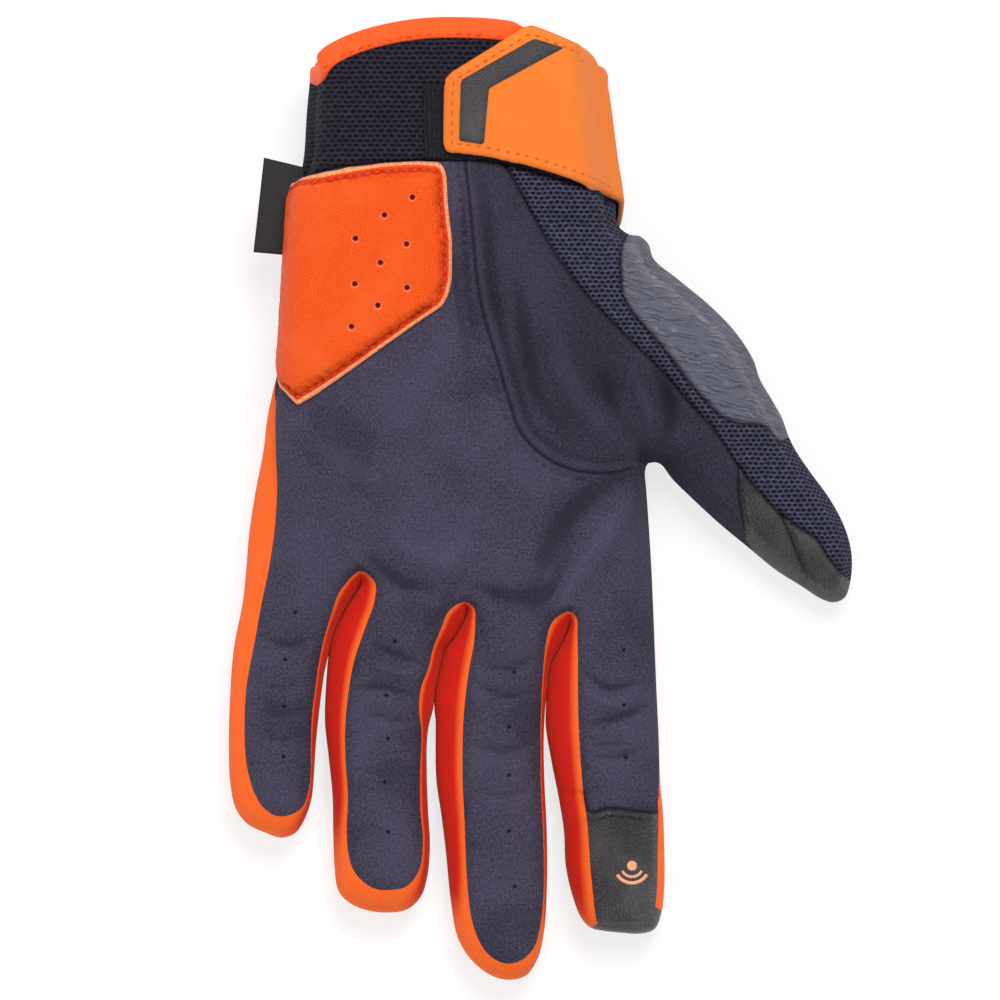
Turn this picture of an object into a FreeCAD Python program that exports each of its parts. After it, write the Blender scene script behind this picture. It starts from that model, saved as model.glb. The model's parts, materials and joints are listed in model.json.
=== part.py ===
"""Left-hand work glove with a hook-and-loop wrist strap, lying on its back, palm up.

Frame: +Z up (out of the palm), +Y from the fingertips to the cuff, +X to the thumb side. The origin
is at the middle of the glove's bounding box, on the surface that the glove lies on. Millimetres.

The hand is a set of lofted forms: one for the palm and cuff, one for each digit. A form made at the
outer size less the same form made one fabric thickness smaller is a shell, and the sewn panels are cut
out of that shell along their seams. Overlays (heel pad, strap, hook and loop) lie between two forms
of different growth. A digit's own frame has its origin at its base knuckle and runs along -Y.
"""
import FreeCAD, Part
import math
import os
import Sketcher

DIGITS = ("index", "middle", "ring", "pinky")
BELOW, ABOVE = 30, 90  # how far cutting tools reach under and over the glove

doc = FreeCAD.newDocument("WorkGlove")
sizes = doc.addObject("Spreadsheet::Sheet", "Sizes")
pieces = {}


def add_sizes(values):
    """Write named numbers under the last row of the sheet."""
    for alias, number in values.items():
        add_sizes.row += 1
        sizes.set(f"A{add_sizes.row}", alias)
        sizes.set(f"B{add_sizes.row}", str(number))
        sizes.setAlias(f"B{add_sizes.row}", alias)


add_sizes.row = 0
add_sizes({
    # the middle of the bounding box, in the coordinates that the other sizes are given in
    "origin_x": 2.16, "origin_y": -0.29,
    # fabric and trim
    "wall": 1.4, "back_flat": 0.2, "joint_gap": 0.4, "back_seam_height": 6.5, "seam_above_floor": 19,
    "foam_thick": 2.4, "leather_thick": 1.2, "loop_thick": 1.0, "hook_thick": 0.9,
    "hook_gap": 0.3, "strap_thick": 1.5, "print_thick": 0.5, "binding_thick": 0.8,
    "binding_width": 7.5, "base_gap": 0.3, "foam_margin": 5, "patch_corner": 4,
    "perforation": 1.7,
    # palm and cuff form: width, height and middle of each section, from the mouth down
    "mouth_y": 124, "mouth_width": 72.5, "mouth_middle": -20.6,
    "cuff_y": 104, "cuff_width": 74.5, "cuff_middle": -20.4, "cuff_height": 37.5,
    "wrist_y": 80, "wrist_width": 79.5, "wrist_middle": -20,
    "heel_y": 56, "heel_width": 86, "heel_middle": -20.8, "heel_height": 35,
    "palm_y": 20, "palm_width": 93.5, "palm_middle": -20.7, "palm_height": 32,
    "knuckle_y": -9, "knuckle_width": 101, "knuckle_middle": -22.7, "knuckle_height": 24,
    "web_y": -40, "web_width": 105.5, "web_middle": -24, "web_height": 22, "palm_corner": 10,
    # the knuckle line, where the fingers are hinged to the palm
    "crotch_x": -23.6, "crotch_y": -21.8, "crotch_slant": -11, "crotch_height": 22.6,
    # thumb form
    "thumb_x": 39.75, "thumb_y": 20.9, "thumb_splay": 42.1, "thumb_root": 54, "thumb_ball": 22,
    "thumb_knuckle": 4, "thumb_bend": 25, "thumb_reach": 54.5,
    "thumb_root_width": 34, "thumb_root_height": 26, "thumb_ball_width": 38.5, "thumb_ball_height": 29,
    "thumb_base_width": 35, "thumb_base_height": 27, "thumb_mid_width": 27, "thumb_mid_height": 23,
    "thumb_tip_width": 20.5, "thumb_tip_height": 18, "thumb_corner": 7,
    # fingers
    "digit_lift": 0.5, "finger_root": 14, "finger_corner": 7, "finger_base_height": 21.5, "finger_mid_height": 20,
    "finger_tip_height": 16.5, "side_left": 5, "side_right": 1.8,
    "index_x": 17.9, "index_y": -27.6, "index_splay": 3.2, "index_bend": 30.5, "index_reach": 80.3,
    "index_base_width": 20.8, "index_mid_width": 24.8, "index_tip_width": 22.5,
    "middle_x": -5.8, "middle_y": -27.7, "middle_splay": -1.2, "middle_bend": 35, "middle_reach": 92.2,
    "middle_base_width": 24.6, "middle_mid_width": 25.8, "middle_tip_width": 22.5,
    "ring_x": -31, "ring_y": -24.3, "ring_splay": -5.5, "ring_bend": 30, "ring_reach": 79,
    "ring_base_width": 24.2, "ring_mid_width": 25, "ring_tip_width": 20.5,
    "pinky_x": -59.8, "pinky_y": -16.6, "pinky_splay": -7.5, "pinky_bend": 30, "pinky_reach": 68,
    "pinky_base_width": 28.8, "pinky_mid_width": 22.6, "pinky_tip_width": 18,
    "perforation_start": 11.5, "perforation_pitch": 12.4, "tip_patch_length": 29.5,
    # strap, hook and loop, label
    "strap_hinge_x": 3, "strap_low": 77.5, "strap_high": 100.5, "strap_foot": 4,
    "hook_left": -21.5, "hook_right": -3, "hook_low": 89, "hook_high": 103.5,
    "loop_left": -29.5, "loop_right": -1.5, "loop_low": 86.5, "loop_high": 104.5,
    "label_width": 9, "label_length": 23.5, "label_thick": 0.8, "label_x": -59.85, "label_y": 84.2,
    "label_slant": -8.5,
})
doc.recompute()


def value(expression):
    """The number that an expression on the sheet gives now."""
    return float(sizes.evalExpression(str(expression)))


def place(x, y, z, turn=0, tilt=0):
    """A placement expression: at x, y, z, turned about Z by turn after a tilt about X."""
    spin = f"rotation(vector(0; 0; 1); {turn}) * rotation(vector(1; 0; 0); {tilt})"
    return f"placement(vector({x}; {y}; {z}); {spin})"


GLOVE = place("-Sizes.origin_x", "-Sizes.origin_y", 0)


def digit_frame(digit):
    """The placement expression of a digit's own frame."""
    return f"{GLOVE} * " + place(f"Sizes.{digit}_x", f"Sizes.{digit}_y", 0, f"Sizes.{digit}_splay")


# ---------------------------------------------------------------- lofted forms

def rounded_section(name, width, height, corner, placement):
    """A rectangle sketch with four equal round corners, its middle at the sketch's origin."""
    sketch = doc.addObject("Sketcher::SketchObject", name)
    wide, high, radius = value(width) / 2, value(height) / 2, value(corner)
    corners = [(wide, -high), (wide, high), (-wide, high), (-wide, -high)]
    for turn, (x, y) in enumerate(corners):
        lead = math.radians(90 * turn)
        before = FreeCAD.Vector(-math.cos(lead), -math.sin(lead), 0)
        start = FreeCAD.Vector(*corners[turn - 1], 0) - before * radius
        end = FreeCAD.Vector(x, y, 0) + before * radius
        sketch.addGeometry(Part.LineSegment(start, end), False)
        middle = FreeCAD.Vector(x - math.copysign(radius, x), y - math.copysign(radius, y), 0)
        circle = Part.Circle(middle, FreeCAD.Vector(0, 0, 1), radius)
        sketch.addGeometry(Part.ArcOfCircle(circle, lead - math.pi / 2, lead), False)
    for edge in range(8):
        sketch.addConstraint(Sketcher.Constraint("Tangent", edge, 2, (edge + 1) % 8, 1))
    for edge in (0, 4):
        sketch.addConstraint(Sketcher.Constraint("Horizontal", edge))
        sketch.addConstraint(Sketcher.Constraint("Vertical", edge + 2))
    for arc in (3, 5, 7):
        sketch.addConstraint(Sketcher.Constraint("Equal", 1, arc))
    sketch.addConstraint(Sketcher.Constraint("Symmetric", 0, 1, 4, 1, -1, 1))
    for kind, ends, half, size in (("DistanceX", (6, 1, 2, 1), wide, width),
                                   ("DistanceY", (0, 1, 4, 1), high, height)):
        index = sketch.addConstraint(Sketcher.Constraint(kind, *ends, 2 * half))
        sketch.setExpression(f"Constraints[{index}]", size)
    index = sketch.addConstraint(Sketcher.Constraint("Radius", 1, radius))
    sketch.setExpression(f"Constraints[{index}]", corner)
    sketch.setExpression("Placement", placement)
    return sketch


def loft(name, sections, placement=None):
    form = doc.addObject("Part::Loft", name)
    form.Sections = sections
    form.Solid = True
    form.Ruled = False
    form.MaxDegree = 3
    if placement:
        form.setExpression("Placement", placement)
    return form


def palm_form(name, grow):
    """The palm and cuff, grown by grow on every side, from just under the floor that trims the back."""
    stations = (("mouth", "cuff"), ("cuff", "cuff"), ("wrist", "cuff"), ("heel", "heel"),
                ("palm", "palm"), ("knuckle", "knuckle"), ("web", "web"))  # section, its height
    sections = []
    for station, height in stations:
        size = f"Sizes.{height}_height"
        at = place(f"Sizes.{station}_middle", f"Sizes.{station}_y", f"{size} / 2 - Sizes.back_flat", 0, 90)
        sections.append(rounded_section(
            f"{name}_{station}", f"Sizes.{station}_width + 2 * ({grow})", f"{size} + 2 * ({grow})",
            f"Sizes.palm_corner + {grow}", f"{GLOVE} * {at}"))
    return loft(name, sections)


def digit_form(name, digit, stations, grow):
    """A digit along -Y in its own frame. A station is a distance, a width, a height and an end share."""
    sections = []
    corner = "Sizes.thumb_corner" if digit == "thumb" else "Sizes.finger_corner"
    for number, (along, width, height, middle, closes, round_by) in enumerate(stations):
        at = place(0, f"-({along}) - {closes} * ({grow})", f"{middle} + Sizes.digit_lift", 0, 90)
        sections.append(rounded_section(
            f"{name}_{number}", f"{width} + 2 * ({grow})", f"{height} + 2 * ({grow})",
            f"({corner}) * {round_by} + {grow}", at))
    return loft(name, sections, digit_frame(digit))


def tip_stations(digit, height):
    """The rounded end of a digit: three sections that close towards its reach."""
    width, reach = f"Sizes.{digit}_tip_width", f"Sizes.{digit}_reach"
    middle = f"{height} / 2"
    return [(f"{reach} - 0.62 * {width}", width, height, middle, 0, 1),
            (f"{reach} - 0.22 * {width}", f"0.86 * {width}", f"0.88 * {height}", middle, 0.5, 0.9),
            (reach, f"0.46 * {width}", f"0.50 * {height}", middle, 1, 0.5)]


def finger_stations(digit):
    base, mid = f"Sizes.{digit}_base_width", f"Sizes.{digit}_mid_width"
    low, high = "Sizes.finger_base_height", "Sizes.finger_mid_height"
    return [("-Sizes.finger_root", base, low, f"{low} / 2", 0, 1),
            ("2", base, low, f"{low} / 2", 0, 1),
            (f"Sizes.{digit}_bend", mid, high, f"{high} / 2", 0, 1)] + tip_stations(
                digit, "Sizes.finger_tip_height")


def thumb_stations():
    rows = []
    for along, part in (("-Sizes.thumb_root", "root"), ("-Sizes.thumb_ball", "ball"),
                        ("Sizes.thumb_knuckle", "base"), ("Sizes.thumb_bend", "mid")):
        height = f"Sizes.thumb_{part}_height"
        rows.append((along, f"Sizes.thumb_{part}_width", height, f"{height} / 2", 0, 1))
    return rows + tip_stations("thumb", "Sizes.thumb_tip_height")


# ---------------------------------------------------------------- cutting tools and booleans

def outline(name, corners, rounded=None, inset=None, frame=GLOVE):
    """A prism through the whole glove over a closed outline, whose corners are cells or expressions."""
    sketch = doc.addObject("Sketcher::SketchObject", f"{name}_outline")
    points = []
    for number, corner in enumerate(corners, 1):
        for axis, size in zip("xy", corner):
            if not isinstance(size, str):
                add_sizes({f"{name}_{axis}_{number}": size})
        points.append([size if isinstance(size, str) else f"Sizes.{name}_{axis}_{number}"
                       for axis, size in zip("xy", corner)])
    doc.recompute([sizes])
    at = [FreeCAD.Vector(value(x), value(y), 0) for x, y in points]
    for number, point in enumerate(at):
        sketch.addGeometry(Part.LineSegment(point, at[(number + 1) % len(at)]), False)
    for number in range(len(at)):
        sketch.addConstraint(Sketcher.Constraint("Coincident", number, 2, (number + 1) % len(at), 1))
    for number, (x, y) in enumerate(points):
        for kind, size in (("DistanceX", x), ("DistanceY", y)):
            index = sketch.addConstraint(Sketcher.Constraint(kind, -1, 1, number, 1, value(size)))
            sketch.setExpression(f"Constraints[{index}]", size)
    face = sketch
    if inset:
        face = offset(f"{name}_inset", face, f"-({inset})")
    if rounded:
        face = offset(f"{name}_tight", face, f"-({rounded})")
        face = offset(f"{name}_round", face, rounded)
    prism = doc.addObject("Part::Extrusion", f"{name}_prism")
    prism.Base = face
    prism.DirMode = "Custom"
    prism.Dir = FreeCAD.Vector(0, 0, 1)
    prism.LengthFwd, prism.LengthRev = ABOVE, BELOW
    prism.Solid = True
    prism.setExpression("Placement", frame)
    return prism


def offset(name, source, distance):
    ring = doc.addObject("Part::Offset2D", name)
    ring.Source = source
    ring.setExpression("Value", distance)
    return ring


def block(name, x, y, z, frame=GLOVE):
    """A box between pairs of expressions, in the glove's frame or a digit's."""
    box = doc.addObject("Part::Box", name)
    for side, (low, high) in (("Length", x), ("Width", y), ("Height", z)):
        box.setExpression(side, f"({high}) - ({low})")
    box.setExpression("Placement", f"{frame} * " + place(x[0], y[0], z[0]))
    return box


def common(name, *shapes):
    both = doc.addObject("Part::MultiCommon", name)
    both.Shapes = list(shapes)
    return both


def fuse(name, *shapes):
    joined = doc.addObject("Part::MultiFuse", name)
    joined.Shapes = list(shapes)
    return joined


def cut(name, base, tool):
    rest = doc.addObject("Part::Cut", name)
    rest.Base, rest.Tool = base, tool
    return rest


def piece(name, shape):
    shape.Label = name
    pieces[name] = shape
    return shape


def cylinders(name, centres, size, frame=GLOVE):
    """Upright round tools at the given places."""
    pins = []
    for number, (x, y) in enumerate(centres):
        pin = doc.addObject("Part::Cylinder", f"{name}_{number}")
        pin.setExpression("Radius", f"{size} / 2")
        pin.Height = ABOVE
        pin.setExpression("Placement", f"{frame} * " + place(x, y, "Sizes.back_seam_height"))
        pins.append(pin)
    return fuse(name, *pins)


WIDE = ("-150", "150")
FULL_HEIGHT = (f"-{BELOW}", str(ABOVE))
BACK = ("0", "Sizes.back_seam_height")


# ---------------------------------------------------------------- fingers

def segment_panels(digit, part, segment, front_prism, frame):
    """Cut one finger segment into back, palm-side front and the two side strips."""
    stem = f"{digit}_{part}"
    back_zone = block(f"{stem}_back_zone", WIDE, WIDE, BACK, frame)
    piece(f"{digit}_back_{part}", common(f"{stem}_back", segment, back_zone))
    upper = cut(f"{stem}_upper", segment, block(
        f"{stem}_low_zone", WIDE, WIDE, (f"-{BELOW}", "Sizes.back_seam_height"), frame))
    front = common(f"{stem}_front", upper, front_prism)
    sides = cut(f"{stem}_sides", upper, front_prism)
    for side, reach in (("outer", ("-150", "0")), ("inner", ("0", "150"))):
        zone = block(f"{stem}_{side}_zone", reach, WIDE, FULL_HEIGHT, frame)
        piece(f"{digit}_{side}_side_{part}", common(f"{stem}_{side}", sides, zone))
    return front


def finger(digit, holes):
    """One finger as two segments: from the knuckle line to its bend, and from there to its tip."""
    frame = digit_frame(digit)
    outer = digit_form(f"{digit}_form", digit, finger_stations(digit), "0")
    inner = digit_form(f"{digit}_hollow", digit, finger_stations(digit), "-Sizes.wall")
    shell = cut(f"{digit}_shell", outer, inner)
    bend, half_gap = f"Sizes.{digit}_bend", "Sizes.joint_gap / 2"
    widths = [f"Sizes.{digit}_{at}_width / 2" for at in ("base", "mid", "tip")]
    along = ["20", f"-{bend}", f"-Sizes.{digit}_reach - 5"]
    left = [(f"-({w}) + Sizes.side_left", y) for w, y in zip(widths, along)]
    right = [(f"{w} - Sizes.side_right", y) for w, y in zip(widths, along)]
    front_prism = outline(f"{digit}_front", left + right[::-1], frame=frame)
    punched = cylinders(f"{digit}_perforations", [
        (1.2, f"-Sizes.perforation_start - {number} * Sizes.perforation_pitch")
        for number in range(holes)], "Sizes.perforation", frame)
    spans = {"base": (f"-{bend} + {half_gap}", "150"), "tip": ("-150", f"-{bend} - {half_gap}")}
    for part, span in spans.items():
        segment = common(f"{digit}_{part}", shell, fingers_zone, block(
            f"{digit}_{part}_zone", WIDE, span, FULL_HEIGHT, frame))
        front = segment_panels(digit, part, segment, front_prism, frame)
        if digit == "index" and part == "tip":
            zone = block("index_patch_zone", WIDE,
                         ("-150", "-Sizes.index_reach + Sizes.tip_patch_length"), FULL_HEIGHT, frame)
            piece("index_tip_patch", common("index_patch", front, zone))
            front = cut("index_tip_front_rest", front, zone)
        piece(f"{digit}_front_{part}", cut(f"{digit}_{part}_punched", front, punched))


# the fingers start past the slanted knuckle line, where the palm ends
knuckle_frame = f"{GLOVE} * " + place("Sizes.crotch_x", "Sizes.crotch_y", 0, "Sizes.crotch_slant")
fingers_zone = block("fingers_zone", WIDE, ("-150", "-Sizes.joint_gap"), FULL_HEIGHT, knuckle_frame)
for finger_name, hole_count in zip(DIGITS, (3, 5, 5, 4)):
    finger(finger_name, hole_count)


# ---------------------------------------------------------------- thumb

thumb_frame = digit_frame("thumb")
thumb_outer = digit_form("thumb_form", "thumb", thumb_stations(), "0")
thumb_inner = digit_form("thumb_hollow", "thumb", thumb_stations(), "-Sizes.wall")
thumb_shell = cut("thumb_shell", thumb_outer, thumb_inner)

# seams in the thumb's frame: the suede lies on its palm side, the guard wraps its outer edge
suede_prism = outline("thumb_suede", [(-40, 90), (-0.6, 90), (-0.6, -80), (-40, -80)], frame=thumb_frame)
guard_prism = outline("thumb_guard_edge", [
    (15, 46), (7.5, 37), (5.5, 23), (4.8, 4), (5.6, -7.5), (9.5, -12), (40, -15), (40, 46)],
    frame=thumb_frame)
tip_leather_prism = outline("thumb_tip_edge", [
    (-40, -38), (-13, -37), (-10.7, -30), (-0.6, -27), (-0.6, -80), (-40, -80)], frame=thumb_frame)
tip_cap_prism = outline("thumb_cap_edge", [
    (-0.6, -27), (-1.6, -31.6), (-3.4, -38.5), (-5.6, -46.6), (-7.9, -53.6), (-9, -80), (-0.6, -80)],
    frame=thumb_frame)
thumb_spans = {
    "base": ("-Sizes.thumb_bend + Sizes.joint_gap / 2", "-Sizes.thumb_knuckle - Sizes.joint_gap / 2"),
    "tip": ("-150", "-Sizes.thumb_bend - Sizes.joint_gap / 2")}
for thumb_part, thumb_span in thumb_spans.items():
    thumb_segment = common(f"thumb_{thumb_part}", thumb_shell, block(
        f"thumb_{thumb_part}_zone", WIDE, thumb_span, FULL_HEIGHT, thumb_frame))
    low_zone = block(f"thumb_{thumb_part}_back_zone", WIDE, WIDE, BACK, thumb_frame)
    piece(f"thumb_back_mesh_{thumb_part}", common(f"thumb_{thumb_part}_back", thumb_segment, low_zone))
    upper_part = cut(f"thumb_{thumb_part}_upper", thumb_segment, block(
        f"thumb_{thumb_part}_low_zone", WIDE, WIDE, (f"-{BELOW}", "Sizes.back_seam_height"), thumb_frame))
    suede_side = common(f"thumb_{thumb_part}_suede_side", upper_part, suede_prism)
    mesh_side = cut(f"thumb_{thumb_part}_mesh_side", upper_part, suede_prism)
    if thumb_part == "base":
        piece("thumb_front_base", suede_side)
        piece("thumb_guard_base", common("thumb_base_guard", mesh_side, guard_prism))
        piece("thumb_outer_mesh_base", cut("thumb_base_mesh", mesh_side, guard_prism))
    else:
        leather = common("thumb_tip_leather", suede_side, tip_leather_prism)
        piece("thumb_front_tip", cut("thumb_tip_suede", suede_side, tip_leather_prism))
        piece("thumb_tip_cap", common("thumb_tip_cap_cut", leather, tip_cap_prism))
        piece("thumb_tip_patch", cut("thumb_tip_patch_cut", leather, tip_cap_prism))
        piece("thumb_outer_mesh_tip", mesh_side)
thumb_stub = common("thumb_stub", thumb_outer, block(
    "thumb_stub_zone", WIDE, ("-Sizes.thumb_knuckle + Sizes.joint_gap / 2", "150"), FULL_HEIGHT,
    thumb_frame))


# ---------------------------------------------------------------- hand and cuff

past_knuckles = block("past_knuckles", WIDE, ("-150", "0"), FULL_HEIGHT, knuckle_frame)
palm_outer = palm_form("palm_outer", "0")
palm_inner = palm_form("palm_inner", "-Sizes.wall")
hand_outer = fuse("hand_outer", cut("palm_blank", palm_outer, past_knuckles), thumb_stub)
hand_inner = fuse("hand_inner", palm_inner, thumb_inner)
above_floor = block("above_floor", WIDE, WIDE, ("0", str(ABOVE)))
hand_shell = common("hand_shell", cut("hand_walls", hand_outer, hand_inner), above_floor)

# the wrist seam, and the slanted mouth of the cuff with the seam of its binding
wrist_seam = [(-120, 77), (-62, 79), (-25, 84.1), (-9, 83), (30, 76), (120, 72)]
mouth_line = [(-120, 90), (-57.3, 105.2), (-41, 113.4), (-24.8, 119.4), (-6.5, 117.4), (16, 109.5),
              (120, 80)]
hand_zone = outline("hand_edge", wrist_seam + [(120, -170), (-120, -170)])
mouth_zone = outline("mouth_edge", mouth_line + [(120, -170), (-120, -170)])
mesh_zone = outline("binding_seam", [
    (f"Sizes.mouth_edge_x_{n}", f"Sizes.mouth_edge_y_{n} - Sizes.binding_width + 1.5")
    for n in range(1, len(mouth_line) + 1)] + [(120, -170), (-120, -170)])
binding_zone = outline("binding_low", [
    (f"Sizes.mouth_edge_x_{n}", f"Sizes.mouth_edge_y_{n} - Sizes.binding_width")
    for n in range(1, len(mouth_line) + 1)] + [(120, -170), (-120, -170)])

cuff_shell = cut("cuff_shell", common("cuff_and_hand", hand_shell, mesh_zone), hand_zone)
side_seam = "Sizes.seam_above_floor"
for cuff_side, levels in (("back", (f"-{BELOW}", side_seam)), ("palm", (side_seam, str(ABOVE)))):
    piece(f"cuff_{cuff_side}_mesh", common(f"cuff_{cuff_side}", cuff_shell, block(
        f"cuff_{cuff_side}_zone", WIDE, WIDE, levels)))
binding_skin = cut("binding_skin", palm_form("binding_outer", "Sizes.binding_thick"),
                   palm_form("binding_inner", "-Sizes.wall - Sizes.binding_thick"))
binding_band = cut("binding_band", common("binding_mouth", binding_skin, mouth_zone, above_floor),
                   binding_zone)
piece("cuff_binding", cut("binding", binding_band, cuff_shell))

lower_hand = common("lower_hand", hand_shell, hand_zone)
piece("back_panel", common("back", lower_hand, block("back_zone", WIDE, WIDE, BACK)))
upper_hand = cut("upper_hand", lower_hand, block(
    "hand_low_zone", WIDE, WIDE, (f"-{BELOW}", "Sizes.back_seam_height")))

# the palm's one-piece suede, up to the seam of the thumb panel on its right
palm_prism = outline("palm_edge", [
    (-52, 110), (-57, 60), (-62.5, 20), (-66.5, -8), (-69.5, -45), (32, -45), (28.4, 5), (25, 9.6),
    (12, 8.4), (4.2, 10.9), (-4.2, 18.1), (-10, 37.6), (-14.7, 56.1), (-16.5, 69), (-17, 110)])
thumb_panel_prism = outline("thumb_seam", [
    (-9, 110), (-9, 83), (-2.7, 72.4), (6.7, 57.6), (22.5, 40.1), (37.5, 23.1), (60, -2), (60, -60),
    (-40, -60), (-40, 110)])
piece("palm_panel", common("palm", upper_hand, palm_prism))
beside_palm = cut("beside_palm", upper_hand, palm_prism)
right_zone = block("right_zone", ("-30", "150"), WIDE, FULL_HEIGHT)
thumb_side = common("thumb_side", beside_palm, right_zone)
piece("outer_side_panel", cut("outer_side", beside_palm, right_zone))
piece("thumb_panel", common("thumb_panel_cut", thumb_side, thumb_panel_prism))
outer_thumb = cut("outer_thumb", thumb_side, thumb_panel_prism)
piece("thumb_guard", common("thumb_guard_cut", outer_thumb, guard_prism))
piece("thumb_mesh", cut("thumb_mesh_cut", outer_thumb, guard_prism))


# ---------------------------------------------------------------- heel pad

foam_level = "Sizes.foam_thick"
heel_corners = [(-61, 77.5), (-25.3, 83.2), (-22.4, 60), (-23, 50.5), (-26, 47), (-58.5, 23), (-64.5, 29),
                (-63.6, 57)]
heel_prism = outline("heel_edge", heel_corners, rounded="Sizes.patch_corner")
foam_prism = outline("foam_edge", [(f"Sizes.heel_edge_x_{n}", f"Sizes.heel_edge_y_{n}")
                                   for n in range(1, len(heel_corners) + 1)], inset="Sizes.foam_margin")
top_zone = block("top_zone", WIDE, WIDE, ("Sizes.palm_height / 2", str(ABOVE)))
heel_foam = common("heel_foam_cut", cut("foam_skin", palm_form("foam_form", foam_level), palm_outer),
                   foam_prism, top_zone)
piece("heel_foam", heel_foam)
heel_skin = cut("heel_skin", palm_form("heel_form", f"{foam_level} + Sizes.leather_thick"), palm_outer)
heel_blank = cut("heel_blank", common("heel_cut", heel_skin, heel_prism, top_zone), heel_foam)
add_sizes({"heel_hole_x": -31.8, "heel_hole_y": 76, "heel_row_x": -6.9, "heel_row_y": -5,
           "heel_column_x": -0.6, "heel_column_y": -11.3})
heel_holes = cylinders("heel_perforations", [
    (f"Sizes.heel_hole_x + {row} * Sizes.heel_row_x + {column} * Sizes.heel_column_x",
     f"Sizes.heel_hole_y + {row} * Sizes.heel_row_y + {column} * Sizes.heel_column_y")
    for row in range(3) for column in range(3)], "Sizes.perforation")
piece("heel_patch", cut("heel_punched", heel_blank, heel_holes))


# ---------------------------------------------------------------- wrist strap

loop_level = "Sizes.loop_thick"
hook_level = f"{loop_level} + Sizes.hook_gap"
tab_level = f"{hook_level} + Sizes.hook_thick"
print_level = f"{tab_level} + Sizes.strap_thick"
loop_form = palm_form("loop_form", loop_level)
hook_form = palm_form("hook_form", hook_level)
tab_form = palm_form("tab_form", tab_level)
print_form = palm_form("print_form", print_level)
upper_zone = block("strap_zone", WIDE, WIDE, (side_seam, str(ABOVE)))

piece("loop_pad", common("loop_cut", cut("loop_skin", loop_form, palm_outer), upper_zone, block(
    "loop_zone", ("Sizes.loop_left", "Sizes.loop_right"), ("Sizes.loop_low", "Sizes.loop_high"),
    FULL_HEIGHT)))
piece("hook_patch", common("hook_cut", cut("hook_skin", tab_form, hook_form), upper_zone, block(
    "hook_zone", ("Sizes.hook_left", "Sizes.hook_right"), ("Sizes.hook_low", "Sizes.hook_high"),
    FULL_HEIGHT)))
tab_prism = outline("strap_edge", [
    (-24, 103), (-22.3, 107.1), (-3, 118.4), ("Sizes.strap_hinge_x", 116), ("Sizes.strap_hinge_x", 81.6),
    (-4, 84.2), (-15, 86.4), (-21.8, 87.2), (-24.3, 89.2)])
piece("strap_tab", common("tab_cut", cut("tab_skin", print_form, tab_form), upper_zone, tab_prism))
print_prism = outline("chevron_edge", [
    (-19.8, 104.6), (-3.2, 114.6), (1.5, 112.6), (-12.8, 103), (-14, 89.3), (-20.2, 90.2)])
piece("strap_print", common("print_cut", cut(
    "print_skin", palm_form("print_top", f"{print_level} + Sizes.print_thick"), print_form),
    upper_zone, print_prism))
base_skin = cut("base_skin", palm_form("base_outer", "Sizes.base_gap + Sizes.strap_thick"),
                palm_form("base_inner", "Sizes.base_gap"))
strap_span = ("Sizes.strap_low", "Sizes.strap_high")
piece("strap_base", common("base_cut", base_skin, block(
    "base_zone", ("Sizes.loop_right + Sizes.base_gap", "150"), strap_span,
    ("Sizes.strap_foot", str(ABOVE)))))


# ---------------------------------------------------------------- label in the side seam

label = doc.addObject("Part::Box", "label")
label.setExpression("Length", "Sizes.label_width")
label.setExpression("Width", "Sizes.label_length")
label.setExpression("Height", "Sizes.label_thick")
label.setExpression("Placement", f"{GLOVE} * " + place(
    "Sizes.label_x", "Sizes.label_y", side_seam, "180 + Sizes.label_slant"))
piece("label_tag", label)


def check_and_write():
    """Stop on any failed feature or bad shape, then write each piece to its own file."""
    doc.recompute()
    failed = [o.Name for o in doc.Objects if {"Invalid", "Error"} & set(o.State)]
    if failed:
        raise RuntimeError(f"failed features: {failed}")
    for name, feature in pieces.items():
        shape = feature.Shape
        if shape.isNull() or not shape.Solids or not shape.isValid():
            raise RuntimeError(f"{name} has no valid solid")
    os.makedirs("parts", exist_ok=True)
    for name, feature in pieces.items():
        feature.Shape.exportStep(os.path.join("parts", f"{name}.step"))


check_and_write()
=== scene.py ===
"""The looks of a left work glove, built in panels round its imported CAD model."""

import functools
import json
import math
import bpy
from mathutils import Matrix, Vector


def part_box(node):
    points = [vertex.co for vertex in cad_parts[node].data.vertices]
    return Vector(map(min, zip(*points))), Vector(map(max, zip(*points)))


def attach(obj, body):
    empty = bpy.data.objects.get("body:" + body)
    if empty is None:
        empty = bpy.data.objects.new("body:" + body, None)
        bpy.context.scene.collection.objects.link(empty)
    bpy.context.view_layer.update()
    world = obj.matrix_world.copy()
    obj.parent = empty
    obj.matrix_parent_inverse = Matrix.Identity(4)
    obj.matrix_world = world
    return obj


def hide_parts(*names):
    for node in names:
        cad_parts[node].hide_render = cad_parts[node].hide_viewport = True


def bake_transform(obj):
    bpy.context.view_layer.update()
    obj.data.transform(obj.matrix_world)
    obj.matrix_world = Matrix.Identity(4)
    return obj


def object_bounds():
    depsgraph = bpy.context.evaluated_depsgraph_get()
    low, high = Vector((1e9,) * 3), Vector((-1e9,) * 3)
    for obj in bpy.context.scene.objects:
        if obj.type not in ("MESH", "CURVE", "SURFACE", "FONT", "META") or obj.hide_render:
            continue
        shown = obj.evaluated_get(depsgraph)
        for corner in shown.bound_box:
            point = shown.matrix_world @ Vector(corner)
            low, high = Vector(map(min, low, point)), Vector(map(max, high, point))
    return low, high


bl_info = {
    "name": "Work glove",
    "version": (1, 0, 0),
    "blender": (4, 5, 0),
    "location": "3D View > Sidebar > Work glove",
    "description": "Sews the panels, trims and stitching of a work glove round its CAD model",
    "category": "Add Mesh",
}

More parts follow.
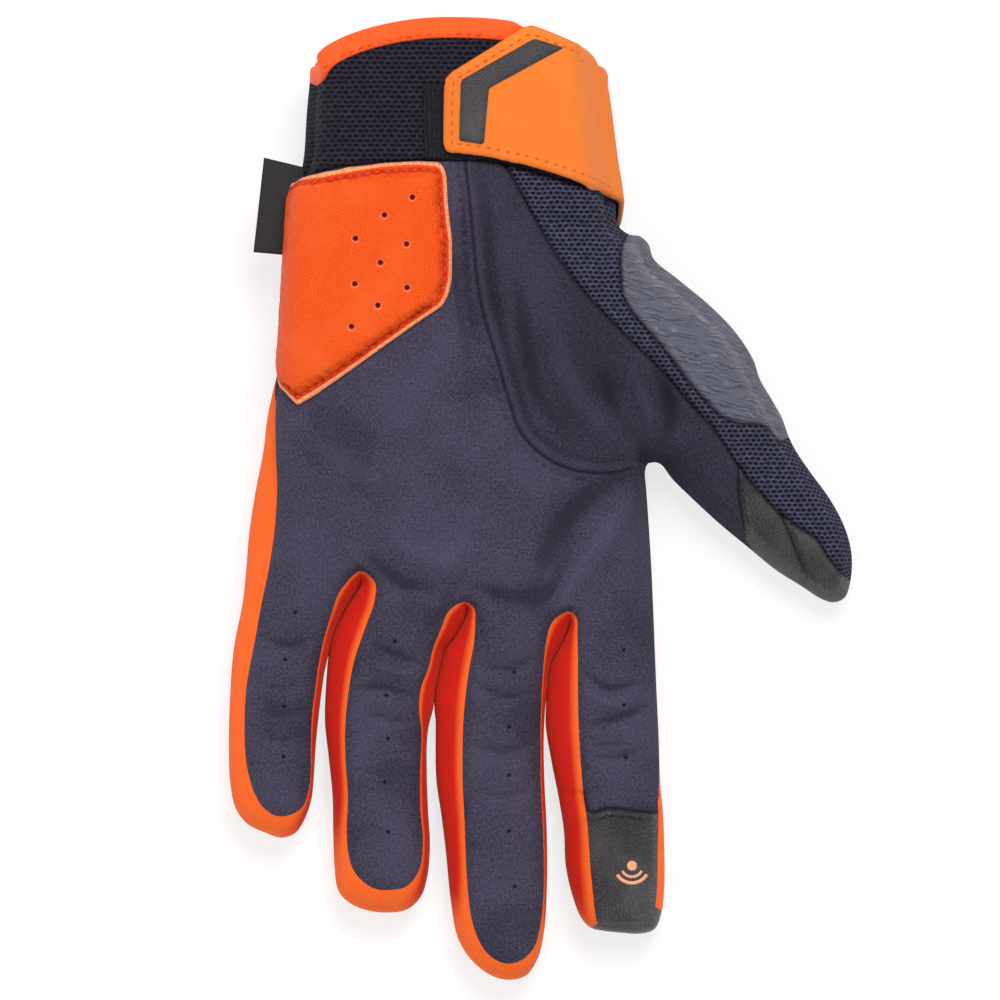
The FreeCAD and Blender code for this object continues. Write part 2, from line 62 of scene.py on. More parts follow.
import bpy
import numpy as np
from bpy.props import FloatProperty, FloatVectorProperty, IntProperty, PointerProperty
from mathutils import Vector
from mathutils.bvhtree import BVHTree
from mathutils.geometry import delaunay_2d_cdt

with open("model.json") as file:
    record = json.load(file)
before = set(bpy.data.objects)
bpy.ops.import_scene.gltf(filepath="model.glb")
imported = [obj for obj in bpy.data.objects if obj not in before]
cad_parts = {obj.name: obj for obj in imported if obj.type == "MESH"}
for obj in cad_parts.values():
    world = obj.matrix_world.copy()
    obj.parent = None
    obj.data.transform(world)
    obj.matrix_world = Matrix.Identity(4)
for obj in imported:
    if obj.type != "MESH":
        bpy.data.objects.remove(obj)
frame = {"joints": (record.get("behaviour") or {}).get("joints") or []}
CAD_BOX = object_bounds()
MM = 0.001
LOW, HIGH = (np.array(corner) / MM for corner in CAD_BOX)
FINGERS = ("pinky", "ring", "middle", "index")
JOINTS = {joint["name"]: joint for joint in frame["joints"]}

# Outlines are in percent of the glove's width and length, from its little-finger side and its
# middle fingertip. EDGES runs round the glove from the little-finger side of the cuff: where its
# outline is widest (x, y), the panel seam beside it (x, y), and the outline's height in mm. The other
# outlines are seams, holes and trims on the palm side.
EDGES = [
    # little-finger side of the cuff
    (12.1, 93.8, 13.5, 93.8, 17.5), (11.6, 90.4, 13.0, 90.3, 17.5), (11.1, 85.7, 12.6, 85.6, 17),
    (10.6, 84.3, 11.8, 84.1, 16.5),
    # heel of the hand
    (9.5, 83.6, 10.8, 83.3, 15.5), (8.7, 82.0, 9.8, 81.7, 15), (8.2, 77.6, 9.3, 77.5, 14),
    (7.7, 71.8, 8.7, 71.8, 13), (7.2, 66.6, 8.2, 66.6, 12), (6.8, 63.3, 7.5, 63.3, 11.5),
    # side panel
    (6.1, 61.4, 6.9, 61.5, 11), (5.2, 58.5, 6.6, 58.5, 10.5), (4.6, 55.2, 6.7, 55.2, 10),
    (3.4, 51.2, 6.9, 51.2, 9.5), (2.4, 47.0, 6.5, 47.1, 9), (1.8, 42.5, 5.5, 42.8, 8.5),
    # pinky
    (1.3, 39.5, 4.5, 39.7, 8), (-0.1, 34.8, 3.3, 35.4, 8), (-0.7, 29.9, 2.0, 30.7, 8),
    (-0.9, 25.5, 1.7, 26.5, 8), (-0.7, 20.8, 2.0, 22.9, 8), (0.2, 18.0, 2.9, 20.4, 7.5),
    (2.1, 16.4, 4.2, 18.6, 7.5), (4.6, 15.6, 5.9, 17.6, 7.5), (7.5, 15.0, 7.7, 17.3, 7.5),
    (9.7, 15.5, 9.4, 17.6, 7.5), (11.2, 17.0, 10.9, 18.3, 7.5), (12.2, 18.9, 11.8, 19.8, 7.5),
    (12.6, 21.1, 12.2, 21.9, 8), (12.9, 24.3, 12.2, 24.8, 8), (13.4, 27.7, 12.4, 27.8, 8),
    (14.0, 30.9, 12.9, 30.5, 8), (14.6, 33.4, 13.4, 32.9, 8), (15.6, 36.3, 14.3, 35.7, 8.5),
    (17.4, 38.9, 15.5, 38.3, 9.5), (19.3, 40.8, 17.1, 40.9, 11),
    # web between two fingers
    (20.4, 41.7, 19.9, 42.8, 12.5),
    # ring
    (19.9, 40.7, 22.1, 42.0, 11), (17.8, 38.7, 22.4, 39.9, 9.5), (15.9, 36.2, 20.8, 36.8, 8.5),
    (14.9, 33.2, 19.1, 33.5, 8), (14.5, 30.2, 18.2, 30.2, 8), (14.4, 27.0, 17.7, 27.0, 8),
    (15.0, 23.3, 17.7, 23.4, 8), (15.6, 19.3, 18.1, 19.4, 8), (15.7, 15.7, 17.9, 15.8, 8),
    (15.9, 12.0, 18.3, 13.0, 7.5), (16.5, 9.5, 19.3, 11.4, 7.5), (18.3, 8.2, 21.0, 10.3, 7.5),
    (21.3, 7.4, 23.0, 9.7, 7.5), (24.5, 7.2, 25.3, 9.7, 7.5), (27.4, 7.5, 27.3, 10.0, 7.5),
    (29.6, 8.8, 28.8, 11.0, 7.5), (30.7, 11.0, 29.7, 12.4, 7.5), (31.1, 14.4, 30.0, 14.9, 8),
    (30.8, 17.9, 29.6, 18.3, 8), (30.6, 21.8, 29.6, 22.4, 8), (30.7, 25.7, 29.8, 26.0, 8),
    (31.5, 28.5, 29.4, 28.6, 8), (31.8, 30.2, 29.7, 30.6, 8), (32.5, 32.5, 30.9, 32.7, 8.5),
    (33.3, 34.7, 31.7, 34.9, 9.5), (34.6, 35.7, 32.9, 36.8, 10.5), (36.2, 37.5, 34.2, 38.7, 12),
    # web between two fingers
    (37.2, 38.8, 36.4, 39.6, 13),
    # middle
    (36.9, 37.7, 38.0, 39.1, 12), (35.2, 35.7, 38.3, 37.3, 10.5), (33.6, 34.5, 38.1, 35.3, 9.5),
    (32.7, 32.4, 37.4, 32.8, 8.5), (32.0, 29.9, 36.8, 30.0, 8), (32.0, 26.8, 36.4, 26.9, 8),
    (32.1, 21.1, 36.3, 21.2, 8), (32.9, 17.4, 36.6, 16.9, 8), (33.6, 13.7, 36.8, 13.2, 8),
    (34.4, 8.5, 37.2, 9.2, 8), (35.5, 4.6, 37.9, 6.2, 7.5), (37.5, 2.4, 39.3, 3.9, 7.5),
    (40.4, 0.8, 41.3, 2.5, 7.5), (43.3, 0.2, 43.6, 2.0, 7.5), (46.3, 0.6, 46.0, 2.5, 7.5),
    (48.3, 2.5, 47.8, 3.9, 7.5), (49.3, 5.4, 48.7, 6.2, 7.5), (49.7, 9.7, 49.2, 9.8, 8),
    (49.7, 15.4, 49.1, 15.5, 8), (49.3, 21.1, 48.7, 21.2, 8), (49.2, 24.5, 48.7, 24.6, 8),
    (49.3, 27.1, 48.7, 27.1, 8), (49.6, 30.2, 48.9, 30.3, 8.5), (50.0, 32.9, 49.2, 33.4, 9.5),
    (51.2, 34.5, 49.6, 35.6, 10.5), (52.6, 36.2, 50.6, 37.6, 12),
    # web between two fingers
    (53.7, 37.5, 52.8, 38.6, 13),
    # index
    (53.2, 36.2, 54.3, 38.1, 12), (51.7, 34.4, 54.5, 36.1, 10.5), (50.3, 32.7, 54.6, 34.0, 9.5),
    (49.8, 30.1, 54.6, 30.6, 8.5), (49.5, 26.9, 54.7, 27.1, 8), (50.4, 23.1, 55.0, 23.4, 8),
    (51.6, 19.1, 55.5, 19.4, 8), (52.4, 15.7, 56.1, 16.6, 8), (52.7, 12.1, 56.5, 12.6, 8),
    (53.8, 8.9, 57.0, 9.2, 8), (55.2, 6.6, 57.4, 7.0, 7.5), (56.7, 5.6, 57.8, 6.2, 7.5),
    (58.7, 5.3, 59.0, 5.9, 7.5), (61.5, 5.1, 61.6, 5.8, 7.5), (64.6, 5.0, 64.3, 5.7, 7.5),
    (66.9, 5.5, 66.1, 6.2, 7.5), (68.0, 7.4, 66.9, 7.9, 7.5), (68.4, 10.2, 67.2, 10.3, 8),
    (68.4, 13.7, 67.3, 13.7, 8), (68.2, 17.4, 67.4, 17.6, 8), (67.7, 21.1, 67.0, 21.2, 8),
    (67.5, 25.4, 66.6, 25.4, 8), (67.2, 29.6, 66.4, 29.7, 8), (66.9, 34.2, 66.1, 34.3, 8.5),
    # index side of the palm
    (66.6, 39.1, 65.7, 39.1, 9), (66.3, 43.4, 65.4, 43.4, 9), (65.9, 47.6, 64.8, 47.6, 9.5),
    (65.5, 51.3, 64.2, 51.3, 10), (65.3, 53.2, 63.9, 53.4, 10.5), (65.8, 54.0, 64.6, 55.0, 11),
    (66.7, 54.1, 66.7, 55.4, 11),
    # thumb
    (67.8, 53.9, 68.9, 54.8, 10.5), (69.6, 52.4, 70.8, 53.4, 9.5), (72.7, 50.4, 73.9, 51.3, 9),
    (77.0, 47.8, 78.0, 48.7, 8.5), (81.8, 45.2, 82.8, 46.2, 8), (86.1, 42.9, 86.9, 44.1, 8),
    (90.2, 41.2, 90.6, 42.4, 7.5), (93.3, 39.9, 93.1, 41.3, 7.5), (95.3, 39.5, 94.7, 40.9, 7.5),
    (97.1, 40.0, 95.9, 41.3, 7.5), (98.0, 41.7, 96.5, 42.5, 7.5), (98.2, 44.5, 96.7, 44.5, 7.5),
    (97.1, 47.3, 95.6, 47.0, 8), (94.7, 50.3, 93.2, 49.8, 8), (91.8, 52.9, 90.4, 52.3, 8.5),
    (89.5, 55.1, 88.0, 54.6, 8.5), (88.2, 56.7, 86.7, 56.3, 9), (87.1, 58.7, 85.4, 58.4, 9),
    (85.4, 60.7, 83.7, 60.3, 9.5), (83.6, 62.7, 82.0, 62.2, 10), (82.5, 64.8, 80.8, 64.2, 10),
    (79.6, 67.7, 78.1, 67.0, 10.5),
    # root of the thumb
    (75.6, 70.4, 74.2, 69.6, 11), (70.8, 73.0, 69.5, 72.2, 11.5), (66.6, 75.3, 65.4, 74.4, 12),
    (65.9, 76.7, 64.5, 76.0, 12.5), (64.5, 77.6, 63.5, 76.7, 13), (62.7, 77.8, 62.0, 77.0, 13.5),
    (60.9, 78.8, 59.7, 78.1, 14.5),
    # thumb side of the cuff
    (60.6, 81.3, 59.0, 80.9, 15.5), (59.4, 86.5, 57.7, 86.3, 16.5), (58.3, 91.7, 56.6, 91.5, 17.5),
    (57.4, 95.6, 55.8, 95.1, 17.5),
]
MOUTH = [
    (15.0, 95.4), (19.2, 96.9), (24.4, 97.9), (30.1, 98.5), (35.7, 98.6), (41.7, 98.4), (46.2, 97.9),
    (51.0, 97.3), (54.2, 96.3),
]
WRIST = [
    (10.9, 84.0), (18.1, 84.6), (26.5, 85.1), (32.8, 85.3), (38.1, 85.3), (43.8, 84.7), (51.7, 83.3),
    (57.2, 82.1), (59.9, 80.9),
]
RIDGE = [
    (37.2, 85.2), (38.0, 81.7), (38.7, 77.1), (39.4, 72.4), (40.6, 68.7), (42.2, 65.3), (44.1, 61.0),
    (46.0, 57.5), (48.9, 55.4), (52.7, 54.0), (57.4, 53.4), (61.2, 53.6), (64.5, 54.1),
]
MESH_LINE = [
    (43.3, 84.9), (45.6, 81.8), (48.4, 78.4), (51.7, 74.9), (55.0, 72.1), (59.3, 69.0), (63.6, 66.2),
    (67.9, 63.5), (72.1, 60.3), (76.4, 57.2), (80.2, 53.5), (83.0, 51.3), (86.4, 48.9), (89.7, 47.3),
    (92.5, 46.1), (94.4, 44.2), (96.3, 42.5),
]
TIP_1 = [(80.3, 53.5), (80.0, 51.7), (80.4, 49.4), (81.2, 47.0)]
TIP_2 = [(86.9, 48.7), (87.9, 47.0), (89.3, 44.8), (91.0, 42.3)]
GUARD = [
    (62.0, 77.0), (61.4, 75.6), (61.4, 73.1), (61.8, 71.2), (63.4, 69.4), (66.2, 67.3), (69.5, 64.7),
    (72.4, 62.2), (75.0, 60.3), (77.4, 58.8), (80.2, 58.1), (84.0, 57.9), (86.6, 56.3),
]
INDEX_PATCH = [(55.4, 19.9), (56.5, 17.8), (59.7, 18.2), (63.7, 17.9), (67.4, 17.6)]
HEEL = [
    (9.4, 82.9), (13.0, 83.6), (18.1, 84.3), (23.8, 84.8), (29.4, 85.0), (32.5, 84.9), (33.3, 84.6),
    (33.8, 83.7), (34.0, 80.9), (34.6, 77.0), (34.5, 73.0), (34.0, 71.3), (33.1, 70.2), (29.4, 68.6),
    (23.8, 66.0), (18.1, 63.3), (13.0, 61.0), (10.4, 60.0), (7.6, 62.1), (7.4, 64.3), (8.0, 69.8),
    (8.4, 75.4), (8.8, 80.0), (8.9, 82.0),
]
HEEL_HOLES = [
    (28.5, 81.5), (24.2, 79.7), (19.8, 77.3), (27.6, 76.7), (23.6, 74.8), (19.7, 72.6), (27.7, 72.2),
    (23.2, 70.4), (19.2, 68.3),
]
HOLES = [
    (9.8, 38.5), (8.2, 33.6), (8.0, 28.7), (7.9, 23.5), (25.6, 35.5), (24.2, 29.9), (24.5, 25.4),
    (24.0, 20.9), (24.5, 15.7), (44.5, 32.3), (43.7, 26.6), (43.7, 21.6), (43.7, 15.8), (44.6, 10.0),
    (61.9, 34.6), (61.9, 28.9), (62.2, 23.4),
]
STRAP_TOP = [
    (33.4, 92.4), (33.7, 93.6), (34.7, 94.3), (40.7, 96.7), (46.0, 98.9), (47.3, 99.1), (48.7, 98.8),
    (53.3, 97.6), (57.5, 96.4), (58.1, 95.9),
]
STRAP_LOW = [
    (33.3, 86.9), (33.7, 86.2), (35.0, 86.0), (39.1, 85.7), (46.0, 84.8), (51.7, 83.7), (54.4, 83.1),
    (58.0, 82.2), (60.8, 81.4),
]
PRINT = [(36.1, 93.4), (47.6, 97.7), (52.3, 96.8), (40.5, 92.6), (39.7, 86.8), (35.8, 87.2)]
LOOP = [(30.1, 93.1), (33.7, 94.1), (33.7, 85.4), (30.4, 85.2)]
LABEL = [(4.8, 85.7), (12.4, 84.5), (9.6, 75.5), (3.1, 75.9)]

ABOVE, DOWN = 100.0, Vector((0, 0, -1))     # a height in mm over all of the glove, and the way down

# ---------------------------------------------------------------- curves and flat meshes

def spots(points):
    """Percent of the glove's width and length, as millimetres in the frame."""
    points = np.array(points, float)
    return LOW[:2] + points[:, :2] / 100 * (HIGH - LOW)[:2]


def height_percent(points):
    """How far up the glove's length points in the frame are, in percent."""
    return (points[:, 1] - LOW[1]) / (HIGH[1] - LOW[1]) * 100


def closest(points, spot):
    """The number of the point nearest to a spot."""
    return int(np.argmin(np.linalg.norm(points - spot, axis=1)))


def bell(distance, width):
    """A smooth bump: 1 at no distance, and next to nothing at twice the width."""
    return np.exp(-(distance / width) ** 2)


def bend(start, middle, end, t):
    """A quadratic curve from start to end, drawn towards middle."""
    return (1 - t) ** 2 * start + 2 * t * (1 - t) * middle + t * t * end


def ease(t):
    """Runs from 0 to 1 as t does, with a gentle start and end."""
    return t * t * (3 - 2 * t)


def unit(rows):
    """Rows of numbers scaled to a length of 1."""
    return rows / np.maximum(np.linalg.norm(rows, axis=-1, keepdims=True), 1e-9)


def closed(line):
    return np.vstack([line, line[:1]])


def run_along(line):
    """How far along a line each of its points is."""
    return np.concatenate([[0], np.cumsum(np.linalg.norm(np.diff(line, axis=0), axis=1))])


def between(goals, along, rows):
    """Rows of numbers given at places along a line, read at other places."""
    return np.column_stack([np.interp(goals, along, column) for column in rows.T])


def evenly(line, step):
    """Spreads samples evenly along a line."""
    line = np.asarray(line, float)
    along = run_along(line)
    return between(np.linspace(0, along[-1], max(2, round(along[-1] / step) + 1)), along, line)


def even_ring(points, step):
    return evenly(closed(points), step)[:-1]


def smoothed(ring, times):
    """A ring of numbers or points, each drawn towards its two neighbours so many times."""
    for _ in range(times):
        ring = (np.roll(ring, 1, axis=0) + 2 * ring + np.roll(ring, -1, axis=0)) / 4
    return ring


def curve(rows, step):
    """A smooth curve through rows of numbers, with a sample about every step along each span."""
    rows = np.array(rows, float)
    padded = np.vstack([2 * rows[0] - rows[1], rows, 2 * rows[-1] - rows[-2]])
    samples = []
    for before, start, end, after in zip(padded, padded[1:], padded[2:], padded[3:]):
        gaps = [max(np.linalg.norm(b[:2] - a[:2]), 1e-3) ** 0.5
                for a, b in ((before, start), (start, end), (end, after))]
        lead = (start - before) / gaps[0] - (end - before) / (gaps[0] + gaps[1])
        trail = (end - start) / gaps[1] - (after - start) / (gaps[1] + gaps[2])
        out = (lead + (end - start) / gaps[1]) * gaps[1]
        into = (trail + (after - end) / gaps[2]) * gaps[1]
        count = max(1, round(np.linalg.norm(end[:2] - start[:2]) / step))
        t = (np.arange(count) / count)[:, None]
        samples.append((2 * t**3 - 3 * t**2 + 1) * start + (t**3 - 2 * t**2 + t) * out
                       + (3 * t**2 - 2 * t**3) * end + (t**3 - t**2) * into)
    return np.vstack(samples + [rows[-1:]])


def beside(line, distance, ring=False):
    """A line moved to the left of its run. A ring is moved inwards."""
    after = np.roll(line, -1, axis=0)
    run = after - np.roll(line, 1, axis=0)
    if not ring:
        run[0], run[-1] = line[1] - line[0], line[-1] - line[-2]
    run = unit(run)
    area = (line[:, 0] * after[:, 1] - after[:, 0] * line[:, 1]).sum()
    return line + np.column_stack([-run[:, 1], run[:, 0]]) * distance * (np.sign(area) if ring else 1)


def round_loop(points, reach, step):
    """A closed outline through points, with straight runs and with corners rounded over a reach in mm."""
    rounded = []
    for before, corner, after in zip(np.roll(points, 1, axis=0), points, np.roll(points, -1, axis=0)):
        a, b = (corner + (other - corner) * min(0.45, reach / np.linalg.norm(other - corner))
                for other in (before, after))
        rounded.append(bend(a, corner, b, np.linspace(0, 1, 6)[:, None]))
    return even_ring(np.vstack(rounded), step)


def dots_round(centres, rings):
    """Points in rings round some centres. Each ring is given by its radius and its number of points."""
    return [(x + radius * math.cos(t), y + radius * math.sin(t)) for x, y in centres
            for radius, number in rings for t in np.arange(number) / number * math.tau]


def inside(points, loop):
    """Which points lie inside a closed loop."""
    found = np.zeros(len(points), bool)
    x, y = points[:, 0], points[:, 1]
    for (ax, ay), (bx, by) in zip(loop, np.roll(loop, -1, axis=0)):
        if ay != by:
            found ^= ((ay > y) != (by > y)) & (x < (bx - ax) * (y - ay) / (by - ay) + ax)
    return found


def nearest(points, line):
    """Each point's distance to a line, how far along it that is, from 0 to 1, and the side it lies on:
    positive to the left of the line's run."""
    best = np.full(len(points), 1e9)
    share, side = np.zeros(len(points)), np.zeros(len(points))
    along = run_along(line)
    for start, end, before, after in zip(line, line[1:], along, along[1:]):
        span = end - start
        t = np.clip((points - start) @ span / max(span @ span, 1e-9), 0, 1)
        offset = points - start - t[:, None] * span
        gap = np.linalg.norm(offset, axis=1)
        closer = gap < best
        best[closer] = gap[closer]
        share[closer] = (before + t[closer] * (after - before)) / along[-1]
        side[closer] = (span[0] * offset[:, 1] - span[1] * offset[:, 0])[closer]
    return best, share, side


def flat_mesh(boundary, lines, spacing, extra=()):
    """Fills a closed boundary with triangles of about one size that keep to the given lines and extra
    points. The boundary's points come first in the result, in their order."""
    low, high = boundary.min(0), boundary.max(0)
    rows = [(np.arange(low[0] + number % 2 * spacing / 2, high[0], spacing), y)
            for number, y in enumerate(np.arange(low[1], high[1], spacing * math.sqrt(3) / 2))]
    grid = np.vstack([np.column_stack(np.broadcast_arrays(x, y)) for x, y in rows])
    grid = grid[inside(grid, boundary)]
    keep = nearest(grid, closed(boundary))[0] > 0.55 * spacing
    for line in lines:
        keep &= nearest(grid, line)[0] > 0.45 * spacing
    grid = grid[keep]
    parts, count = [boundary], len(boundary)
    edges = [(n, (n + 1) % count) for n in range(count)]
    for line in lines:
        parts.append(line)
        edges += [(count + n, count + n + 1) for n in range(len(line) - 1)]
        count += len(line)
    if len(extra):
        extra = np.array(extra)
        parts.append(extra)
        grid = grid[np.linalg.norm(grid[:, None] - extra[None], axis=2).min(1) > 0.4]
    result = delaunay_2d_cdt([Vector(p) for p in np.vstack(parts + [grid])], edges, [], 0, 1e-4, True)
    flat, triangles = np.array([tuple(v) for v in result[0]]), np.array(result[2])
    triangles = triangles[inside(flat[triangles].mean(1), boundary)]
    order = np.full(len(flat), len(boundary))
    for new, sources in enumerate(result[3]):
        for source in sources:
            if source < len(boundary):
                order[new] = source
    first = np.argsort(order, kind="stable")
    return flat[first], np.argsort(first)[triangles]


def stretch(points, triangles, held, heights, load=0.0):
    """The heights of a skin over a flat mesh that is held at some points and pushed up by a load."""
    pairs, weights = [], []
    area = np.zeros(len(points))
    for a, b, c in ((0, 1, 2), (1, 2, 0), (2, 0, 1)):
        u = points[triangles[:, a]] - points[triangles[:, c]]
        v = points[triangles[:, b]] - points[triangles[:, c]]
        twice = np.abs(u[:, 0] * v[:, 1] - u[:, 1] * v[:, 0])
        pairs.append(triangles[:, [a, b]])
        weights.append(np.clip((u * v).sum(1) / np.maximum(twice, 1e-9) / 2, 0.01, 20))
        area += np.bincount(triangles[:, c], twice / 6, len(points))
    (p, q), w = np.vstack(pairs).T, np.concatenate(weights)

    def pull(x):
        flow = w * (x[p] - x[q])
        return np.bincount(p, flow, len(points)) - np.bincount(q, flow, len(points))

    free = ~held
    diagonal = np.maximum(np.bincount(p, w, len(points)) + np.bincount(q, w, len(points)), 1e-9)
    x = np.where(held, heights, np.mean(heights[held]))
    residual = (load * area - pull(x)) * free
    step = residual / diagonal
    energy = residual @ step
    goal = energy * 1e-8
    for _ in range(900):
        moved = pull(step) * free
        rate = energy / max(step @ moved, 1e-12)
        x = x + rate * step
        residual = residual - rate * moved
        ready = residual / diagonal
        energy, old = residual @ ready, energy
        if energy < goal:
            break
        step = ready + energy / old * step
    return x


def swelling(flat, triangles, held):
    """How far from what holds it each point of a skin could swell."""
    return np.sqrt(np.maximum(stretch(flat, triangles, held, np.zeros(len(flat)), 2.0), 0))


def pierce(flat, centres, rim, fade, sink, reach):
    """How much each point of a cloth lies in a hole, from 0 to 1, and how far it dips there."""
    gaps = np.linalg.norm(flat[:, None] - centres, axis=2)
    return np.clip(rim - gaps / fade, 0, 1).max(1), (sink * bell(gaps, reach)).sum(1)


def cells(grid):
    """The four corners of each cell of a grid, row by row."""
    corners = np.stack([grid[:-1, :-1], grid[:-1, 1:], grid[1:, 1:], grid[1:, :-1]], axis=2)
    return corners.reshape(-1, 4, *grid.shape[2:])


def numbered(rows, columns, rings=False, tube=False):
    """The vertex numbers of a grid. Rings join each row's end to its start, and a tube joins its last row to
    its first."""
    grid = np.arange(rows * columns).reshape(rows, columns)
    grid = np.hstack([grid, grid[:, :1]]) if rings else grid
    return closed(grid) if tube else grid


def ruled(rows, columns):
    """The cloth coordinates at the corners of a grid's cells, from those of its rows and columns."""
    return cells(np.dstack(np.meshgrid(rows, columns, indexing="ij")))


def add_normals(total, vertices, faces):
    """Adds the normal of each face, as long as its area, to the totals of its corners."""
    p = vertices[faces]
    normal = np.cross(p[:, 2] - p[:, 0], p[:, 3 % faces.shape[1]] - p[:, 1])
    for corner in faces.T:
        np.add.at(total, corner, normal)


# ---------------------------------------------------------------- meshes in the frame

def make_mesh(name, vertices, faces, uvs, normals=None, marks=None, slots=None):
    """A mesh object from millimetres. uvs is per vertex or per face corner, normals and marks per vertex."""
    mesh = bpy.data.meshes.new(name)
    mesh.from_pydata([tuple(v) for v in np.asarray(vertices) * MM], [], [list(map(int, f)) for f in faces])
    mesh.polygons.foreach_set("use_smooth", [True] * len(mesh.polygons))
    if np.ndim(uvs[0]) == 1:
        uvs = [uvs[face] for face in faces]
    layer = mesh.uv_layers.new(name="cloth")
    layer.data.foreach_set("uv", np.concatenate([np.ravel(uv) for uv in uvs]).astype(np.float32))
    for key, values in (marks or {}).items():
        mesh.attributes.new(key, "FLOAT", "POINT").data.foreach_set("value", np.float32(values))
    if slots is not None:
        mesh.polygons.foreach_set("material_index", slots)
    mesh.update()
    if normals is not None:
        mesh.normals_split_custom_set_from_vertices([tuple(n) for n in normals])
    thing = bpy.data.objects.new(name, mesh)
    bpy.context.scene.collection.objects.link(thing)
    return thing


def shell_of(top, faces, thickness, up):
    """Closes a sheet of faces into a flat body: its top, a copy below it, and the raw edge between. Gives
    its vertices, its faces, and 0, 1 or 2 for each face by which of these it belongs to."""
    faces = [list(map(int, f)) for f in faces]
    ends = {}
    for face in faces:
        for a, b in zip(face, face[1:] + face[:1]):
            if (b, a) in ends:
                del ends[b, a]
            else:
                ends[a, b] = True
    count = len(top)
    below = [[v + count for v in reversed(face)] for face in faces]
    rim = [[b, a, a + count, b + count] for a, b in ends]
    slots = [0] * len(faces) + [1] * len(below) + [2] * len(rim)
    return np.vstack([top, top - up * thickness]), faces + below + rim, slots


def cut_sheet(name, tree, flat, triangles, lift, thickness):
    """A thin sheet laid on the skin, from its flat mesh in the plan."""
    top, up = lay(tree, flat, lift)
    vertices, faces, _ = shell_of(top, triangles, thickness, up)
    return make_mesh(name, vertices, faces, np.vstack([flat, flat]))


def grid_mesh(name, grid, thickness, curl=0.35):
    """A cut sheet from a grid of points, with its edges worn a little round. Gives its normals too."""
    rows, columns = grid.shape[:2]
    top, faces = grid.reshape(-1, 3), cells(numbered(rows, columns))
    normals = np.zeros(top.shape)
    add_normals(normals, top, faces)
    normals = unit(normals)
    row, column = np.divmod(np.arange(len(top)), columns)
    rim = (row == 0) | (row == rows - 1) | (column == 0) | (column == columns - 1)
    vertices, faces, slots = shell_of(top - normals * (curl * rim)[:, None], faces, thickness, normals)
    lengths = (np.linalg.norm(np.diff(grid, axis=n), axis=2).mean(1 - n) for n in (1, 0))
    across, along = (np.concatenate([[0], np.cumsum(steps)]) for steps in lengths)
    flat = np.column_stack([across[column], along[row]])
    return make_mesh(name, vertices, faces, np.vstack([flat, flat]), slots=slots), normals.reshape(grid.shape)


def search_tree(vertices, faces):
    """A tree that finds where rays meet the faces."""
    return BVHTree.FromPolygons([tuple(v) for v in vertices], [list(map(int, face)) for face in faces])


def plumb(tree, x, y):
    """Where a plumb line from above meets the faces, and their normal there."""
    return tree.ray_cast(Vector((x, y, ABOVE)), DOWN)[:2]


def lay(tree, points, lift=0.0):
    """Drops points in the plan onto the skin and lifts them off it. Gives them and the normals there."""
    found = []
    for x, y in points:
        hit, normal = plumb(tree, x, y)
        if hit is None:
            hit, normal = tree.find_nearest(Vector((x, y, 15.0)))[0], -DOWN
        if normal.z < 0:
            normal = -normal
        found.append([x, y, hit.z + lift, *normal])
    found = np.array(found)
    return found[:, :3], found[:, 3:]


def stitches(name, path, normals, length=2.3, gap=1.1, radius=0.34, sink=0.12):
    """A row of stitches: each shows as a plump thread that dives into the cloth at both ends."""
    data = evenly(np.hstack([path, normals]), 0.35)
    points, up = data[:, :3], unit(data[:, 3:])
    along = run_along(points)
    number = max(1, int((along[-1] + gap) / (length + gap)))
    pitch = (along[-1] + gap) / number
    sides, rings = 6, 5
    ends = [list(reversed(range(sides))), [(rings - 1) * sides + s for s in range(sides)]]
    one_stitch = [*cells(numbered(rings, sides, rings=True)), *map(np.array, ends)]
    one_uv = [*ruled(np.linspace(0, length, rings), np.arange(sides + 1) * 0.36), *np.zeros((2, sides, 2))]
    vertices, faces = [], []
    turns = np.arange(sides) / sides * math.tau
    for n in range(number):
        places = np.linspace(n * pitch, n * pitch + pitch - gap, rings)
        centre, lift = between(places, along, points), between(places, along, up)
        across = np.cross(lift, unit(np.gradient(centre, axis=0)))
        faces += [face + n * rings * sides for face in one_stitch]
        swell = np.sin(math.pi * (0.12 + 0.76 * np.linspace(0, 1, rings)))[:, None]
        middle = centre + lift * (radius * (swell - 0.75) * 1.1 - sink)
        out = np.cos(turns)[:, None] * across[:, None] + np.sin(turns)[:, None] * lift[:, None]
        vertices.append((middle[:, None] + (radius * (0.35 + 0.65 * swell))[:, None] * out).reshape(-1, 3))
    return make_mesh(name, np.vstack(vertices), faces, one_uv * number)


def hinge(digit, which):
    """The hinge of a digit's knuckle or middle_knuckle in mm, and the way the digit runs from it."""
    first, second = (np.array(JOINTS[f"{digit}_{name}"]["pos_m"]) / MM
                     for name in ("knuckle", "middle_knuckle"))
    axis = np.array(JOINTS[f"{digit}_{which}"]["axis"])
    run = np.array([-axis[1], axis[0], 0.0]) / math.hypot(axis[0], axis[1])
    run *= np.sign(run @ (second - first))
    return (first if which == "knuckle" else second), run


# ---------------------------------------------------------------- the glove's skin

TOP_ROWS, UNDER_ROWS = 8, 7         # rows in a side wall, above and below the glove's outline
SAMPLE, GRAIN = 1.1, 1.35           # mm between the samples of an outline, and the points in a panel
ENDS = 80                           # samples of the outline at either end that hold the ends of the wrist
WEBS = [(20.4, 41.7), (37.2, 38.8), (53.7, 37.5)]
TOUCHING = [32.2, 27.3, 27.9]       # percent of the length above which neighbouring fingers touch
STALL = 70                          # samples of a finger's side that are looked at from its web
SPLIT, TURN = 0.62, 12              # where a stall is split between its hinges, and how many mm turn
RISE, RISE_REACH = 9.5, 2.2         # how far a side wall climbs in mm, and over what width
LEVEL_REACH, BACK = 1.4, 0.4        # the width over which it sinks, and the height of the back
